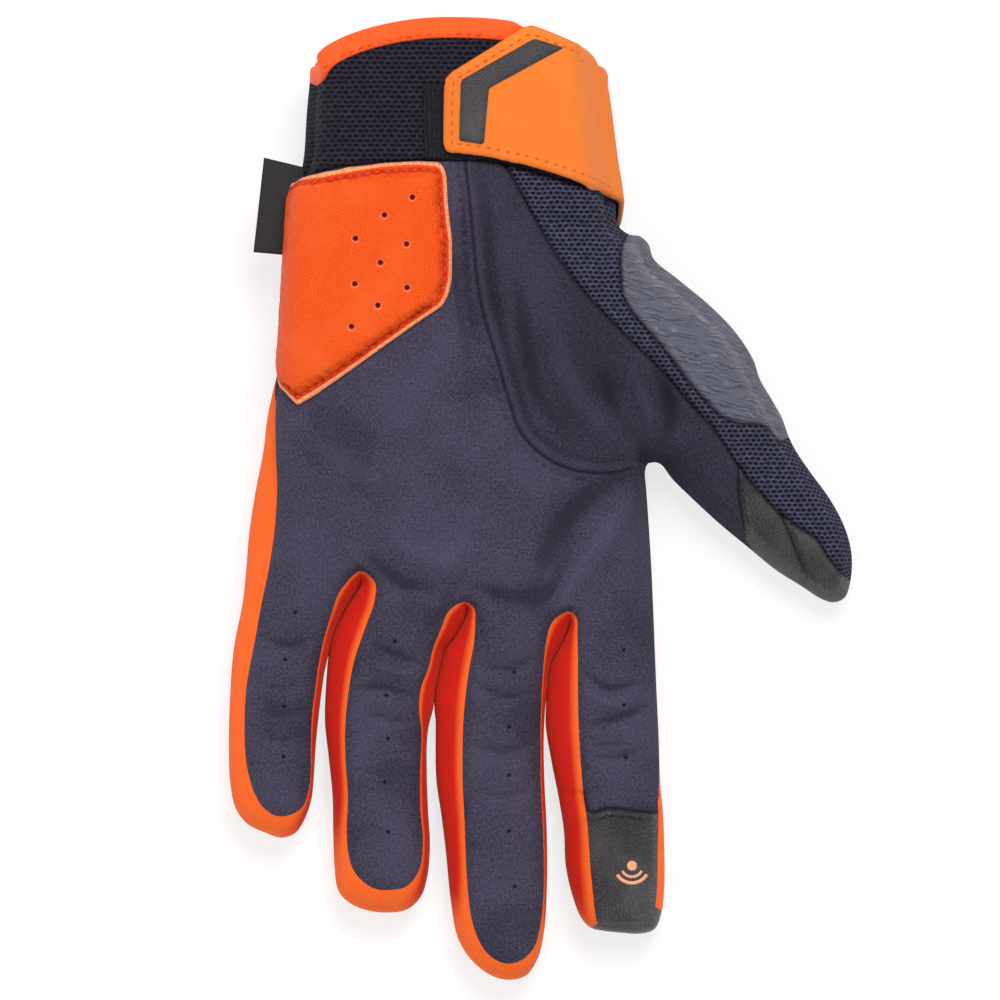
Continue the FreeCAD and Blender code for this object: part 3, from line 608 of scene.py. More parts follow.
# the height of the palm side over its seams, at percent of the length
CROWN_LEVELS = [0, 12, 24, 34, 40, 46, 52, 58, 70, 82, 94, 100]
CROWN_HEIGHTS = [6.5, 7.5, 8.0, 7.3, 5.4, 7.0, 11.2, 15.0, 17.6, 18.2, 17.6, 17.5]
CROWN_REACH, BACK_REACH, FOLD_REACH = 14.0, 3.5, 3.0    # how fast each comes up from the outline
HOLE_RINGS = (0, 1), (0.3, 6), (0.55, 8), (0.95, 10)    # radius, and number of points
SEAM_ROWS = -2.6, -1.7, -1.0, -0.45, 0.45, 1.0, 1.7, 2.6
# across the ridge seam: height, place and width of each bump, in mm. Then how far other seams swell, and
# where the stitches beside a leather's seam run.
WELT = (1.15, 0.3, 0.75), (-0.75, -1.2, 0.55), (-0.7, -3.0, 0.7), (0.35, -2.0, 0.6)
SEAM_SWELL = {"mesh": 0.48, "guard": 0.54, "wrist": 0.36}
STITCHED = {"patch": -1.9, "tip_1": 1.25, "tip_2": 1.25}
FOLDS = [               # path in percent, width and height in mm
    ([(65.6, 55.8), (62.0, 57.6), (59.4, 60.6), (58.8, 64.2)], 3.8, -3.8),
    ([(67.4, 55.6), (69.4, 58.6), (68.4, 61.8), (65.8, 64.6)], 3.0, -2.6),
    ([(66.4, 56.8), (65.4, 60.2), (62.8, 63.8)], 2.2, 1.5),
    ([(62.4, 57.6), (56.5, 59.4), (52.5, 63.5), (50.5, 69.0)], 4.5, 1.6),
    ([(52.0, 57.6), (48.6, 60.6), (46.4, 66.0), (45.0, 73.0)], 3.2, -1.8),
    ([(64.0, 51.4), (58.4, 45.8), (53.2, 41.2), (50.5, 38.0)], 3.6, 1.5),
    ([(63.6, 53.0), (57.0, 51.0), (51.0, 46.5), (47.5, 41.0)], 4.6, -1.9),
    ([(36.2, 83.0), (36.6, 77.5), (37.2, 71.0), (39.2, 64.5)], 1.3, -1.1),
    ([(34.9, 78.0), (35.6, 71.0), (37.6, 63.5)], 1.6, -0.8),
    ([(40.4, 83.0), (40.9, 78.5), (41.4, 73.5), (43.0, 67.5)], 1.6, -0.8),
    ([(49.5, 80.0), (53.0, 78.6), (57.0, 78.4)], 1.5, -2.2),
    ([(50.5, 82.0), (55.5, 80.9), (59.0, 79.6)], 1.6, 1.2),
    ([(21.0, 44.6), (27.0, 41.6), (33.0, 41.2)], 2.6, -1.35),
    ([(24.0, 47.0), (30.0, 44.4), (36.0, 43.8)], 2.8, 0.7),
    ([(21.5, 35.4), (25.0, 34.4), (30.2, 33.2)], 1.5, -1.35),
    ([(21.0, 33.4), (25.5, 32.4), (30.0, 31.8)], 1.4, 1.05),
    ([(18.6, 30.8), (23.5, 30.8), (29.0, 29.8)], 1.3, -1.35),
    ([(55.4, 32.6), (59.5, 30.6), (64.5, 31.4)], 1.3, -1.5),
    ([(56.0, 30.2), (60.5, 29.0), (65.6, 29.6)], 1.4, 1.05),
    ([(38.4, 31.2), (42.5, 30.0), (48.2, 30.2)], 1.3, -1.05),
    ([(4.0, 36.4), (8.0, 35.2), (13.0, 36.0)], 1.4, -1.05),
    ([(38.0, 41.5), (44.0, 40.2), (50.5, 40.6)], 2.6, -1.2),
    ([(37.4, 25.0), (43.0, 24.2), (48.6, 25.4)], 1.6, -0.9),
    ([(56.0, 27.0), (61.0, 27.6), (66.4, 29.4)], 1.8, -1.2),
    ([(3.2, 28.6), (7.6, 28.0), (12.0, 28.8)], 1.6, -0.75),
    ([(10.0, 57.0), (18.0, 54.0), (28.0, 50.0)], 4.5, 0.8),
    ([(40.0, 52.0), (36.0, 46.0), (33.0, 41.0)], 4.0, 0.7),
    ([(20.2, 28.4), (24.4, 27.6), (28.8, 27.2)], 1.2, -0.9),
    ([(20.0, 22.4), (24.0, 21.8), (28.4, 21.6)], 1.3, -0.6),
    ([(38.2, 33.6), (42.6, 32.6), (48.4, 33.8)], 1.3, -0.8),
    ([(37.0, 20.4), (42.4, 19.6), (48.0, 20.4)], 1.4, -0.6),
    ([(55.2, 26.0), (59.0, 24.8), (63.0, 25.2)], 1.3, -0.8),
    ([(56.6, 23.8), (61.0, 23.6), (65.0, 24.6)], 1.3, -0.9),
    ([(2.8, 26.2), (7.0, 25.4), (11.6, 26.0)], 1.3, -0.7),
    ([(2.8, 31.8), (7.2, 30.8), (12.2, 31.4)], 1.3, -0.7),
    ([(30.0, 36.0), (34.0, 40.0), (37.0, 44.0)], 2.6, -0.8),
    ([(46.0, 38.8), (51.0, 41.4), (54.0, 46.0)], 2.6, -0.9),
]


class Skin:
    """The glove's outer skin: a palm side and a back over one flat pattern, and the walls between."""

    def __init__(self):
        rows = np.array(EDGES, float)
        chain = curve(np.column_stack([spots(rows[:, :2]), spots(rows[:, 2:4]), rows[:, 4]]), SAMPLE)
        self.edge, self.seam, self.level = chain[:, :2], chain[:, 2:4], chain[:, 4]
        mouth = curve(np.vstack([self.seam[:1], spots(MOUTH), self.seam[-1:]]), SAMPLE)
        self.mouth = mouth[1:-1][::-1]
        self.count = len(self.seam)
        self.webs = [closest(self.edge, web) for web in spots(WEBS)]
        self.thumb_side = np.clip((np.arange(self.count) - self.on_seam(66.5, 36.0)) / 8, 0, 1)
        self.close_gaps()
        self.draw_seams()
        self.cut_bodies()
        self.fill_pattern()
        self.raise_heights()
        self.wrap_walls()
        self.name_panels()

    def on_seam(self, *percent):
        """The outline's sample nearest to a spot."""
        return closest(self.seam, spots([percent])[0])

    def close_gaps(self):
        """Lets neighbouring fingers touch near their web, and measures how far into a gap each wall lies, for
        the painted shade on the walls there.
        """
        edge, reach = self.edge.copy(), np.full(self.count, 99.0)
        level = height_percent(edge)
        for web, touching in zip(self.webs, TOUCHING):
            before, after = np.arange(web - STALL, web), np.arange(web + 1, web + 1 + STALL)
            for mine, theirs in ((before, after), (after, before)):
                for n in mine:
                    gap = edge[theirs[closest(edge[theirs], edge[n])]] - edge[n]
                    size = np.linalg.norm(gap)
                    reach[n] = min(reach[n], size)
                    if size < 6:
                        share = np.clip((level[n] - touching) / 2.5, 0, 1)
                        self.edge[n] += share * (gap * 0.5 + gap / max(size, 0.3) * 0.12)
            reach[web] = 0
        # how close a neighbouring finger is, which sets the painted shade in the gaps
        self.depth = smoothed(bell(reach, 7.5), 24)

    def draw_seams(self):
        """The panels' seams. Their ends are samples of the outline or of another seam."""
        def line(points, start, end):
            points = spots(points)
            points[0], points[-1] = start[closest(start, points[0])], end[closest(end, points[-1])]
            return curve(points, SAMPLE)

        seam = self.seam
        wrist = line(WRIST, seam[:ENDS], seam[-ENDS:])
        mesh = line(MESH_LINE, wrist, seam)
        self.lines = {
            "wrist": wrist, "mesh": mesh, "ridge": line(RIDGE, wrist, seam), "guard": line(GUARD, seam, seam),
            "tip_1": line(TIP_1, mesh, seam), "tip_2": line(TIP_2, mesh, seam),
            "patch": line(INDEX_PATCH, seam, seam)}

    def cut_bodies(self):
        """Where the moving bodies' pieces meet, as straight lines from outline to outline."""
        def crossing(start, end, origin, run):
            return start + int(np.argmin(np.abs((self.seam[start:end] - origin[:2]) @ run[:2])))

        def cut(first, last):
            a, b = self.seam[first], self.seam[last]
            return a + np.linspace(0, 1, max(3, round(np.linalg.norm(b - a) / GRAIN)))[:, None] * (b - a)

        roots = [self.on_seam(5.0, 42.0), *self.webs, self.on_seam(66.3, 36.4)]
        ends = dict(zip(FINGERS, zip(roots, roots[1:])))
        ends["thumb"] = self.on_seam(69.5, 54.2), self.on_seam(76.5, 68.4)
        self.spans, self.cuts, self.turn = {}, {}, {}
        for digit, (first, last) in ends.items():
            (knuckle, run), (middle, _) = hinge(digit, "knuckle"), hinge(digit, "middle_knuckle")
            tip = first + int(np.argmin(self.edge[first:last, 1]))
            if digit == "thumb":
                tip = self.on_seam(96.5, 42.5)
                first = crossing(first - 12, first + 25, knuckle + run, run)
                last = crossing(tip, last + 25, knuckle + run, run)
            split = knuckle + (middle - knuckle) * SPLIT
            left, right = crossing(first, tip, split, run), crossing(tip, last, split, run)
            self.spans[digit] = first, left, right, last
            self.cuts[f"{digit}_base"], self.cuts[f"{digit}_tip"] = cut(first, last), cut(left, right)
            outline = np.vstack([self.cuts[f"{digit}_base"], self.edge[[first, last]]])
            begin = max(0.0, ((outline - knuckle[:2]) @ run[:2]).max())
            self.turn[digit] = begin, begin + TURN

    def fill_pattern(self):
        """Fills the flat pattern with triangles, which are smaller beside the seams and round the holes."""
        boundary = np.vstack([self.seam, self.mouth])
        extra = dots_round(spots(HOLES), HOLE_RINGS)
        for line in self.lines.values():
            for offset in SEAM_ROWS:
                row = evenly(beside(line, offset), 0.95)[2:-2]
                extra += list(row[nearest(row, boundary)[0] > 0.7])
        extra, lines = np.array(extra), [*self.lines.values(), *self.cuts.values()]
        keep = np.min([nearest(extra, line)[0] for line in lines], axis=0) > 0.3
        self.flat, self.triangles = flat_mesh(boundary, lines, GRAIN, extra[keep])

    def raise_heights(self):
        """The heights of the palm side and the back, and the cloth's marks: where it is sewn and pierced,
        painted shade in its creases with painted highlight on its folds, and painted shade in the gaps
        between fingers.
        """
        flat, triangles = self.flat, self.triangles
        reach = np.linalg.norm(self.edge - self.seam, axis=1)
        climb = RISE * (1 - np.exp(-reach / RISE_REACH)) * (1 - 0.25 * self.thumb_side)
        sunk = (self.level - 1.0) * (1 - np.exp(-reach / LEVEL_REACH))
        held = np.arange(len(flat)) < self.count
        rest = np.zeros(len(flat) - self.count)
        swell = swelling(flat, triangles, held)
        crown = np.interp(height_percent(flat), CROWN_LEVELS, CROWN_HEIGHTS)
        top = stretch(flat, triangles, held, np.append(self.level + climb, rest))
        top += crown * (1 - np.exp(-swell / CROWN_REACH))
        under = stretch(flat, triangles, held, np.append(self.level - sunk, rest))
        self.under = BACK + (under - BACK) * np.exp(-swell / BACK_REACH)
        creases, seams = np.zeros((2, len(flat)))
        for path, width, height in FOLDS:
            gap, share, _ = nearest(flat, curve(spots(path), 2))
            fading = np.sin(math.pi * (0.06 + 0.88 * share)) ** 0.7 * (1 - bell(swell, FOLD_REACH))
            top += height * bell(gap, width) * fading
            # painted shade in each fold's valley and painted highlight on its ridge, by its height
            creases += np.clip(height / 1.2, -1, 1) * bell(gap, 0.7 * width) * fading
        for name, line in self.lines.items():
            gap, share, side = nearest(flat, line)
            left = np.sign(side) * gap
            if name == "ridge":
                welt = np.sin(math.pi * (0.05 + 0.9 * share)) ** 0.4
                top += welt * sum(height * bell(left - place, width) for height, place, width in WELT)
                # painted highlight along the top of the welt and painted shade just past it
                creases += welt * (0.9 * bell(left - 0.3, 0.7) - 0.6 * bell(left - 2.2, 1.0))
                # seam marks here: painted shadow in the welt's two valleys, and the seam line along its other
                # edge
                shown = [bell(left + 1.1, 0.55), 0.6 * bell(left + 3.0, 0.5),
                         0.5 * welt * bell(left - 1.6, 0.45)]
            else:
                top += SEAM_SWELL.get(name, 0.3) * bell(gap - 1.5, 1.1) - 0.75 * bell(gap, 0.6)
                shown = [0.9 * bell(gap, 0.5)]
                if name in STITCHED:
                    shown.append(0.7 * bell(left - STITCHED[name], 0.42))
            seams = np.max([seams, *shown], axis=0)
        holes, dip = pierce(flat, spots(HOLES), 1.25, 0.6, 0.9, 0.5)
        self.top = top - dip
        # painted shade in the gaps between fingers: on the walls only, fading in over their first rows
        gap_shade = np.outer(np.clip(np.arange(1, TOP_ROWS + UNDER_ROWS) / 3, 0, 1), self.depth).ravel()
        plain = np.zeros(len(gap_shade) + len(flat))
        self.marks = {"hole": np.append(holes, plain), "seam": np.append(seams, plain),
                      "gap_shade": np.concatenate([0 * holes, gap_shade, 0 * holes]),
                      "crease_shade": 0.5 + 0.5 * np.clip(np.append(creases, plain), -1, 1)}

    def wrap_walls(self):
        """Lists every vertex: the palm side, the rows of the walls, and the back."""
        count, seam, level = self.count, self.seam, self.level
        top, under = self.top[:count], self.under[:count]
        upright = np.maximum(self.thumb_side, np.clip((14 - np.arange(count)) / 6, 0, 1))
        shoulder = top - (0.3 + 0.52 * upright) * (top - level)
        keel = under + 0.4 * (level - under)
        rows = [(1 - (1 - t) ** 2, bend(top, shoulder, level, t))
                for t in np.arange(1, TOP_ROWS + 1) / TOP_ROWS]
        rows += [(1 - t * t, bend(level, keel, under, t)) for t in np.arange(1, UNDER_ROWS) / UNDER_ROWS]
        self.vertices = np.vstack([
            np.column_stack([self.flat, self.top]),
            *(np.column_stack([seam + out * (self.edge - seam), z]) for out, z in rows),
            np.column_stack([self.flat, self.under])])
        starts = np.append(0, len(self.flat) + np.arange(len(rows) + 1) * count)
        self.wall_rows = np.arange(count) + starts[:, None]
        self.back_start = starts[-1]

    def name_panels(self):
        """Says of every face which panel it is in, and which body it is on."""
        seam, lines, count = self.seam, self.lines, self.count
        ends = {name: (closest(seam, line[0]), closest(seam, line[-1])) for name, line in lines.items()}
        (left, right), crotch, tip = ends["wrist"], ends["ridge"][1], ends["mesh"][1]
        patch_start, cap_start, guard = ends["tip_1"][1], ends["tip_2"][1], ends["guard"]
        patch = ends["patch"]

        def back_along(line, other):
            """The part of a line past the start of another, from its end."""
            return lines[line][closest(lines[line], lines[other][0]):][::-1]

        zones = {
            "thumb_suede": [lines["ridge"], seam[crotch:right + 1], back_along("wrist", "ridge")],
            "cuff": [lines["wrist"], seam[right:], self.mouth, seam[:left + 1]],
            "thumb_mesh": [lines["mesh"], seam[tip:right + 1], back_along("wrist", "mesh")],
            "tip_patch": [lines["tip_1"], seam[patch_start:tip + 1], back_along("mesh", "tip_1")],
            "tip_cap": [lines["tip_2"], seam[cap_start:tip + 1], back_along("mesh", "tip_2")],
            "guard": [lines["guard"], seam[guard[1]:guard[0] + 1]],
            "index_patch": [lines["patch"], seam[patch[0]:patch[1] + 1][::-1]],
        }
        middles = self.flat[self.triangles].mean(1)
        front, body = np.full(len(middles), "suede", "U16"), np.full(len(middles), "palm", "U16")
        for name, outline in zones.items():
            front[inside(middles, np.vstack(outline))] = name
        walls = cells(self.wall_rows)
        row, column = np.divmod(np.arange(len(walls)), count - 1)
        wall, wall_body = np.full(len(walls), "side", "U16"), np.full(len(walls), "palm", "U16")
        for digit, (first, a, b, last) in self.spans.items():
            for part, start, end in (("base", first, last), ("tip", a, b)):
                body[inside(middles, seam[start:end + 1])] = f"{digit}_{part}"
                wall_body[(column >= start) & (column < end)] = f"{digit}_{part}"
        back = np.where(np.isin(front, ("cuff", "guard", "thumb_mesh")), front, "back")
        back[np.char.startswith(body, "thumb") & (back == "back")] = "thumb_mesh"

        def paint(name, first, last, rows=99, slant=0.0, taper=0.0):
            """Names the upper rows of the walls between two samples, with ends that may lean in."""
            wall[(column >= first + np.round(row * slant)) & (column < last - np.round(row * taper))
                 & (row < rows)] = name

        paint("cuff", 0, left)
        paint("index_patch", self.on_seam(57.8, 6.2), self.on_seam(66.9, 7.9))
        paint("suede", self.on_seam(67.2, 18.9), crotch, TOP_ROWS + 1, slant=1.3)
        paint("suede", left, self.on_seam(6.9, 60.4), TOP_ROWS, taper=1.1)
        paint("thumb_suede", crotch, patch_start + 12)
        paint("tip_patch", patch_start, cap_start, slant=0.7)
        paint("tip_cap", cap_start, tip)
        paint("thumb_mesh", tip, right)
        paint("guard", guard[1], guard[0])
        paint("cuff", right, count)
        for labels, where in ((front, body), (wall, wall_body)):
            labels[(labels == "tip_cap") & (where == "thumb_base")] = "thumb_suede"
        lengths = np.linalg.norm(np.diff(self.vertices[self.wall_rows], axis=0), axis=2)
        across = np.vstack([np.zeros(count), np.cumsum(lengths, axis=0)])
        wall_uvs = cells(seam + unit(self.edge - seam) * across[:, :, None])
        uvs = self.flat[self.triangles]
        # the faces, their cloth coordinates, panels and bodies on the palm side, the walls and the back
        self.sides = [(self.triangles, uvs, front, body),
                      (walls[:, ::-1], wall_uvs[:, ::-1], wall, wall_body),
                      (self.triangles[:, ::-1] + self.back_start, uvs[:, ::-1], back, body)]

    def piece(self, name, label, body):
        """Makes one mesh of what lies of a panel on one body, with normals taken over the whole panel."""
        normals, faces, uvs = np.zeros(self.vertices.shape), [], []
        for all_faces, all_uvs, labels, bodies in self.sides:
            add_normals(normals, self.vertices, all_faces[labels == label])
            chosen = (labels == label) & (bodies == body)
            faces += list(all_faces[chosen])
            uvs += list(all_uvs[chosen])
        used = np.unique(np.concatenate(faces))
        number = np.zeros(len(self.vertices), int)
        number[used] = np.arange(len(used))
        return make_mesh(name, self.vertices[used], [number[face] for face in faces], uvs,
                         unit(normals[used]), {key: values[used] for key, values in self.marks.items()})


# ---------------------------------------------------------------- what wraps round the skin

class Draped:
    """A stretch of the skin laid out flat from its right edge, which keeps its true width down the side."""

    def __init__(self, tree, low, high):
        step = 0.25
        self.x, self.y = np.arange(high[0], low[0], -step), np.arange(low[1], high[1] + 1)
        self.z = np.empty((len(self.y), len(self.x)))
        run = np.zeros_like(self.z)
        for j, y in enumerate(self.y):
            for i, x in enumerate(self.x):
                hit = plumb(tree, x, y)[0]
                self.z[j, i] = hit.z if hit else self.z[j, i - 1]
                if i:
                    climb = self.z[j, i] - self.z[j, i - 1]
                    run[j, i] = run[j, i - 1] + (math.hypot(step, climb) if hit else 1e-4)
        self.u = self.x[0] - run

    def between_rows(self, y, read):
        """What is read in the two rows of the grid beside a height in the plan, shared out between them."""
        place = min(max(y - self.y[0], 0), len(self.y) - 1.001)
        row = int(place)
        near, far = read(row), read(row + 1)
        return near + (far - near) * (place - row)

    def lay_out(self, plan):
        """Where points of the plan lie on the cloth once it is flat."""
        return np.array([(self.between_rows(y, lambda row: np.interp(-x, -self.x, self.u[row])), y)
                         for x, y in plan])

    def drape(self, flat):
        """The points of the skin that lie under points of the flat cloth."""
        found = []
        for u, y in flat:
            x, z = self.between_rows(y, lambda row: np.array(
                [np.interp(-u, -self.u[row], values) for values in (self.x, self.z[row])]))
            found.append((x, y, z))
        return np.array(found)

    def normals(self, flat):
        wide, high = (self.drape(flat + step) - self.drape(flat - step) for step in ([0.8, 0], [0, 0.8]))
        return unit(np.cross(wide, high))


class Cuff:
    """The mouth of the cuff as a closed loop, and the cuff's surface by angle, for what wraps round it."""

    def __init__(self, skin):
        self.edge = skin.edge
        self.tree = search_tree(skin.vertices, [face for faces, *_ in skin.sides for face in faces])
        rim = np.arange(skin.count + len(skin.mouth) - 1, skin.count - 1, -1)
        self.loop = skin.vertices[np.concatenate([
            [0], rim, skin.wall_rows[:, -1], rim[::-1] + skin.back_start, skin.wall_rows[:0:-1, 0]])]

    def middle_at(self, y):
        """The middle of the cuff's section at a height in the plan."""
        left, right = (side[closest(side[:, 1:], y), 0] for side in (self.edge[:60], self.edge[-60:]))
        return (left + right) / 2, 17.0

    def around(self, y, angle, lift):
        """The point at a height in the plan and an angle about the middle, lifted off the cuff's surface."""
        x0, z0 = self.middle_at(y)
        out, middle = Vector((math.cos(angle), 0, math.sin(angle))), Vector((x0, y, z0))
        hit = self.tree.ray_cast(middle, out)[0]
        reach = (hit - middle).length + lift if hit else 30.0
        return x0 + out.x * reach, z0 + out.z * reach


def binding_tape(name, cuff, hidden, low, high):
    """The tape round the mouth: folded over the cloth and a little wavy, and pressed flat under the strap,
    from where hidden (mm along X) on. Gives the loop that it follows too, and its ways out and up."""
    step, sides = 0.8, 20
    loop = smoothed(even_ring(cuff.loop, step), 6)
    run = unit(np.roll(loop, -1, axis=0) - np.roll(loop, 1, axis=0))
    up = unit(np.array([0.0, 1.0, 0.0]) - run * run[:, 1:2])
    out = np.cross(run, up)
    out *= np.sign(((loop - loop.mean(0)) * out).sum(1))[:, None]
    turns = np.linspace(0, math.tau, sides, endpoint=False)
    o, u = (np.sign(way) * np.abs(way) ** power
            for way, power in ((np.cos(turns), 0.75), (np.sin(turns), 0.6)))
    count, x, z = len(loop), loop[:, :1], loop[:, 2:]
    along = np.arange(count + 1) * step
    pressed = np.clip((x - hidden) / 6, 0, 1) * np.clip((z - 2) / 6, 0, 1)
    wave = (0.10 * np.sin(along * 0.45) + 0.06 * np.sin(along * 1.1 + 1))[:-1, None]
    outwards = o * (1 - 0.75 * pressed) - 1.4 * pressed - 0.8 * np.abs(out[:, :1]) ** 4 + wave * (o > 0)
    upwards = (low + high) / 2 - pressed * 0.9 + (high - low) / 2 * u * (1 - 0.45 * pressed)
    vertices = loop[:, None] + out[:, None] * outwards[..., None] + up[:, None] * upwards[..., None]
    vertices[..., 2] = np.maximum(vertices[..., 2], 0.1)
    faces = cells(numbered(count, sides, rings=True, tube=True))
    uvs = ruled(along, np.arange(sides + 1) * 0.6)
    return make_mesh(name, vertices.reshape(-1, 3), faces[:, ::-1], uvs[:, ::-1]), (loop, out, up)


def cuff_lining(name, cuff):
    """The cloth inside the cuff, seen through its mouth."""
    step, levels = 1.5, np.linspace(1.2, -34.0, 16)
    loop = even_ring(cuff.loop, step)
    count, vertices = len(loop), []
    for drop in levels:
        for point in loop:
            y = min(point[1] + drop, point[1])
            x0, z0 = cuff.middle_at(y)
            x, z = cuff.around(min(y, point[1] - 0.8), math.atan2(point[2] - z0, point[0] - x0), -1.6)
            vertices.append((x, y, z))
    faces = cells(numbered(len(levels), count, rings=True))
    uvs = np.column_stack([np.tile(np.arange(count) * step, len(levels)), np.repeat(-levels, count)])
    return make_mesh(name, vertices, faces, uvs)


def strap_grid(cuff, lift):
    """The strap's upper face: rows from its lower to its upper edge, columns from its free end, over the
    thumb edge of the cuff, to the seam low on that side."""
    rows, columns, tail, lowest = 30, 64, 48, 6.0

    def edge(points):
        line = evenly(spots(points), 0.5)
        return between(np.linspace(0, 1, columns) * (len(line) - 1), np.arange(len(line)), line)

    top, low = edge(STRAP_TOP), edge(STRAP_LOW)
    mouth, grid = cuff.loop[:, 1].min() - 0.5, []
    for t in np.linspace(0, 1, rows):
        ring = []
        for x, y in low + (top - low) * t:
            hit = plumb(cuff.tree, x, min(y, mouth))[0]
            ring.append([x, y, (hit.z if hit else ring[-1][2] - lift) + lift])
        x, y, z = ring[-1]
        x0, z0 = cuff.middle_at(min(y, mouth))
        angle = math.atan2(z - z0, x - x0)
        while angle > -math.pi * 0.93 and z >= lowest:
            angle -= 0.03
            x, z = cuff.around(min(y, mouth), angle, lift * 0.75)
            ring.append([x, y, z])
        ring, place = np.array(ring), np.arange(len(ring)) - columns
        ring[:, 1] -= 8.5 * (1 - t) * ease(np.clip((place + 1) / 14, 0, 1))
        ring[:, 1] -= 4.5 * max(0.0, (t - 0.72) / 0.28) ** 2 * ease(np.clip((place + 7) / 15, 0, 1))
        behind = evenly(ring[columns - 1:], 0.6)
        behind = between(np.linspace(0, 1, tail + 1), np.linspace(0, 1, len(behind)), behind)
        grid.append(np.vstack([ring[:columns], behind[1:]]))
    grid = np.array(grid)
    for _ in range(6):
        low, near, high = (grid[:, columns + start:columns + start + 24, ::2] for start in (-9, -8, -7))
        grid[:, columns - 8:columns + 16, ::2] = (near * 2 + low + high) / 4
    z = grid[..., 2]
    for _ in range(8):
        beside_it = z[:-2, 1:-1] + z[2:, 1:-1] + z[1:-1, :-2] + z[1:-1, 2:]
        z[1:-1, 1:-1] = (z[1:-1, 1:-1] * 2 + beside_it / 2) / 4
    return grid


# ---------------------------------------------------------------- finishes

def tint(red, green, blue):
    """A colour from 0-255 values as it is seen, as the shader's linear values."""
    def linear(value):
        value /= 255
        return value / 12.92 if value <= 0.04045 else ((value + 0.055) / 1.055) ** 2.4
    return tuple(linear(value) for value in (red, green, blue)) + (1.0,)


def brighter(colour, factor):
    """A colour made so many times as bright; below 1 it gets darker."""
    return tuple(min(1.0, c * factor) for c in colour[:3]) + (1.0,)


class Wire:
    """A socket in a finish. Plus, minus, times and over add the Math nodes that they stand for."""

    def __init__(self, finish, socket):
        self.finish, self.socket = finish, socket

    def maths(self, operation, *values):
        return self.finish.node("ShaderNodeMath", {"operation": operation}, dict(enumerate(values)))

    def __add__(self, other):
        return self.maths("ADD", self, other)

    def __sub__(self, other):
        return self.maths("SUBTRACT", self, other)

    def __rsub__(self, other):
        return self.maths("SUBTRACT", other, self)

    def __mul__(self, other):
        return self.maths("MULTIPLY", self, other)

    def __truediv__(self, other):
        return self.maths("DIVIDE", self, other)

    def __pow__(self, other):
        return self.maths("POWER", self, other)

    __radd__, __rmul__ = __add__, __mul__

    def floor(self):
        return self.maths("FLOOR", self)

    def wave(self, pitch):
        """A wave from -1 to 1 that comes back after each pitch."""
        return self.maths("SINE", self * (math.tau / pitch))

    def root(self):
        return self.maths("SQRT", self)

    def ramp(self, low, high, start=0.0, end=1.0):
        """Runs smoothly from start to end while the value runs from low to high."""
        return self.finish.node("ShaderNodeMapRange", {"interpolation_type": "SMOOTHSTEP"},
                                {0: self, 1: low, 2: high, 3: start, 4: end})


class Finish:
    """One material, built from nodes round a Principled shader."""

    def __init__(self, name, roughness=0.6, specular=0.4, **constants):
        self.material = bpy.data.materials.new(name)
        self.material.use_nodes = True
        self.tree = self.material.node_tree
        self.shader = self.tree.nodes["Principled BSDF"]
        self.shader.inputs["Roughness"].default_value = roughness
        self.shader.inputs["Specular IOR Level"].default_value = specular
        for key, value in constants.items():
            self.shader.inputs[key.replace("_", " ").title()].default_value = value

    def node(self, kind, settings=None, inputs=None, output=0):
        """Adds a node: its settings come first, then the values or links of its sockets."""
        made = self.tree.nodes.new(kind)
        for key, value in (settings or {}).items():
            setattr(made, key, value)
        for key, value in (inputs or {}).items():
            self.plug(made.inputs[key], value)
        return Wire(self, made.outputs[output])

    def plug(self, socket, value):
        if isinstance(value, Wire):
            self.tree.links.new(value.socket, socket)
        else:
            socket.default_value = value

    def cloth(self):
        """The cloth's own coordinates in mm."""
        return self.node("ShaderNodeUVMap", {"uv_map": "cloth"})

    def across(self, place):
        """The two coordinates of a place on the cloth, as values."""
        first = self.node("ShaderNodeSeparateXYZ", inputs={0: place})
        return first, Wire(self, first.socket.node.outputs[1])

    def place(self, u, v, w=0.0):
        return self.node("ShaderNodeCombineXYZ", inputs={0: u, 1: v, 2: w})

    def noise(self, place, per_mm, detail=2.0, roughness=0.5, distortion=0.0):
        """Cloudy noise of so many cells to a millimetre, from about 0 to 1."""
        return self.node("ShaderNodeTexNoise", {"noise_dimensions": "2D"},
                         {"Vector": place, "Scale": per_mm, "Detail": detail, "Roughness": roughness,
                          "Distortion": distortion})

    def pebbles(self, place, per_mm):
        """Grain like that of leather: 0 in the creases, rising on each pebble."""
        return self.node("ShaderNodeTexVoronoi", {"voronoi_dimensions": "2D", "feature": "DISTANCE_TO_EDGE"},
                         {"Vector": place, "Scale": per_mm, "Randomness": 1.0})

    def mark(self, name):
        """A number that the mesh carries at each point."""
        return self.node("ShaderNodeAttribute", {"attribute_name": name}, output=2)

    def mix(self, share, first, second):
        """A colour between two, by a share from 0 to 1."""
        return self.node("ShaderNodeMix", {"data_type": "RGBA", "clamp_factor": True},
                         {0: share, 6: first, 7: second}, output=2)

    def darken_seams(self, shade, share, dark):
        """A colour that nears a dark one by a share where the mesh is marked as sewn; beside the palm's ridge
        welt that mark also holds painted shadow in its valleys.
        """
        return self.mix(self.mark("seam").ramp(0.1, 0.9, 0.0, share), shade, dark)

    def colour(self, value):
        self.plug(self.shader.inputs["Base Color"], value)

    def rough(self, value):
        self.plug(self.shader.inputs["Roughness"], value)

    def relief(self, height, depth_mm, strength):
        """Bumps the surface: the height runs from 0 to 1 over so many millimetres."""
        bump = self.node("ShaderNodeBump", inputs={"Strength": strength, "Distance": depth_mm * MM,
                                                   "Height": height})
        self.plug(self.shader.inputs["Normal"], bump)

    def lattice(self, place, wide, high):
        """Places within the cells of a staggered grid, from -0.5 to 0.5 both ways."""
        u, v = self.across(place)
        v = v / high
        row = v.floor()
        u = u / wide + (row * 0.5 - (row * 0.5).floor())
        return u - u.floor() - 0.5, v - row - 0.5


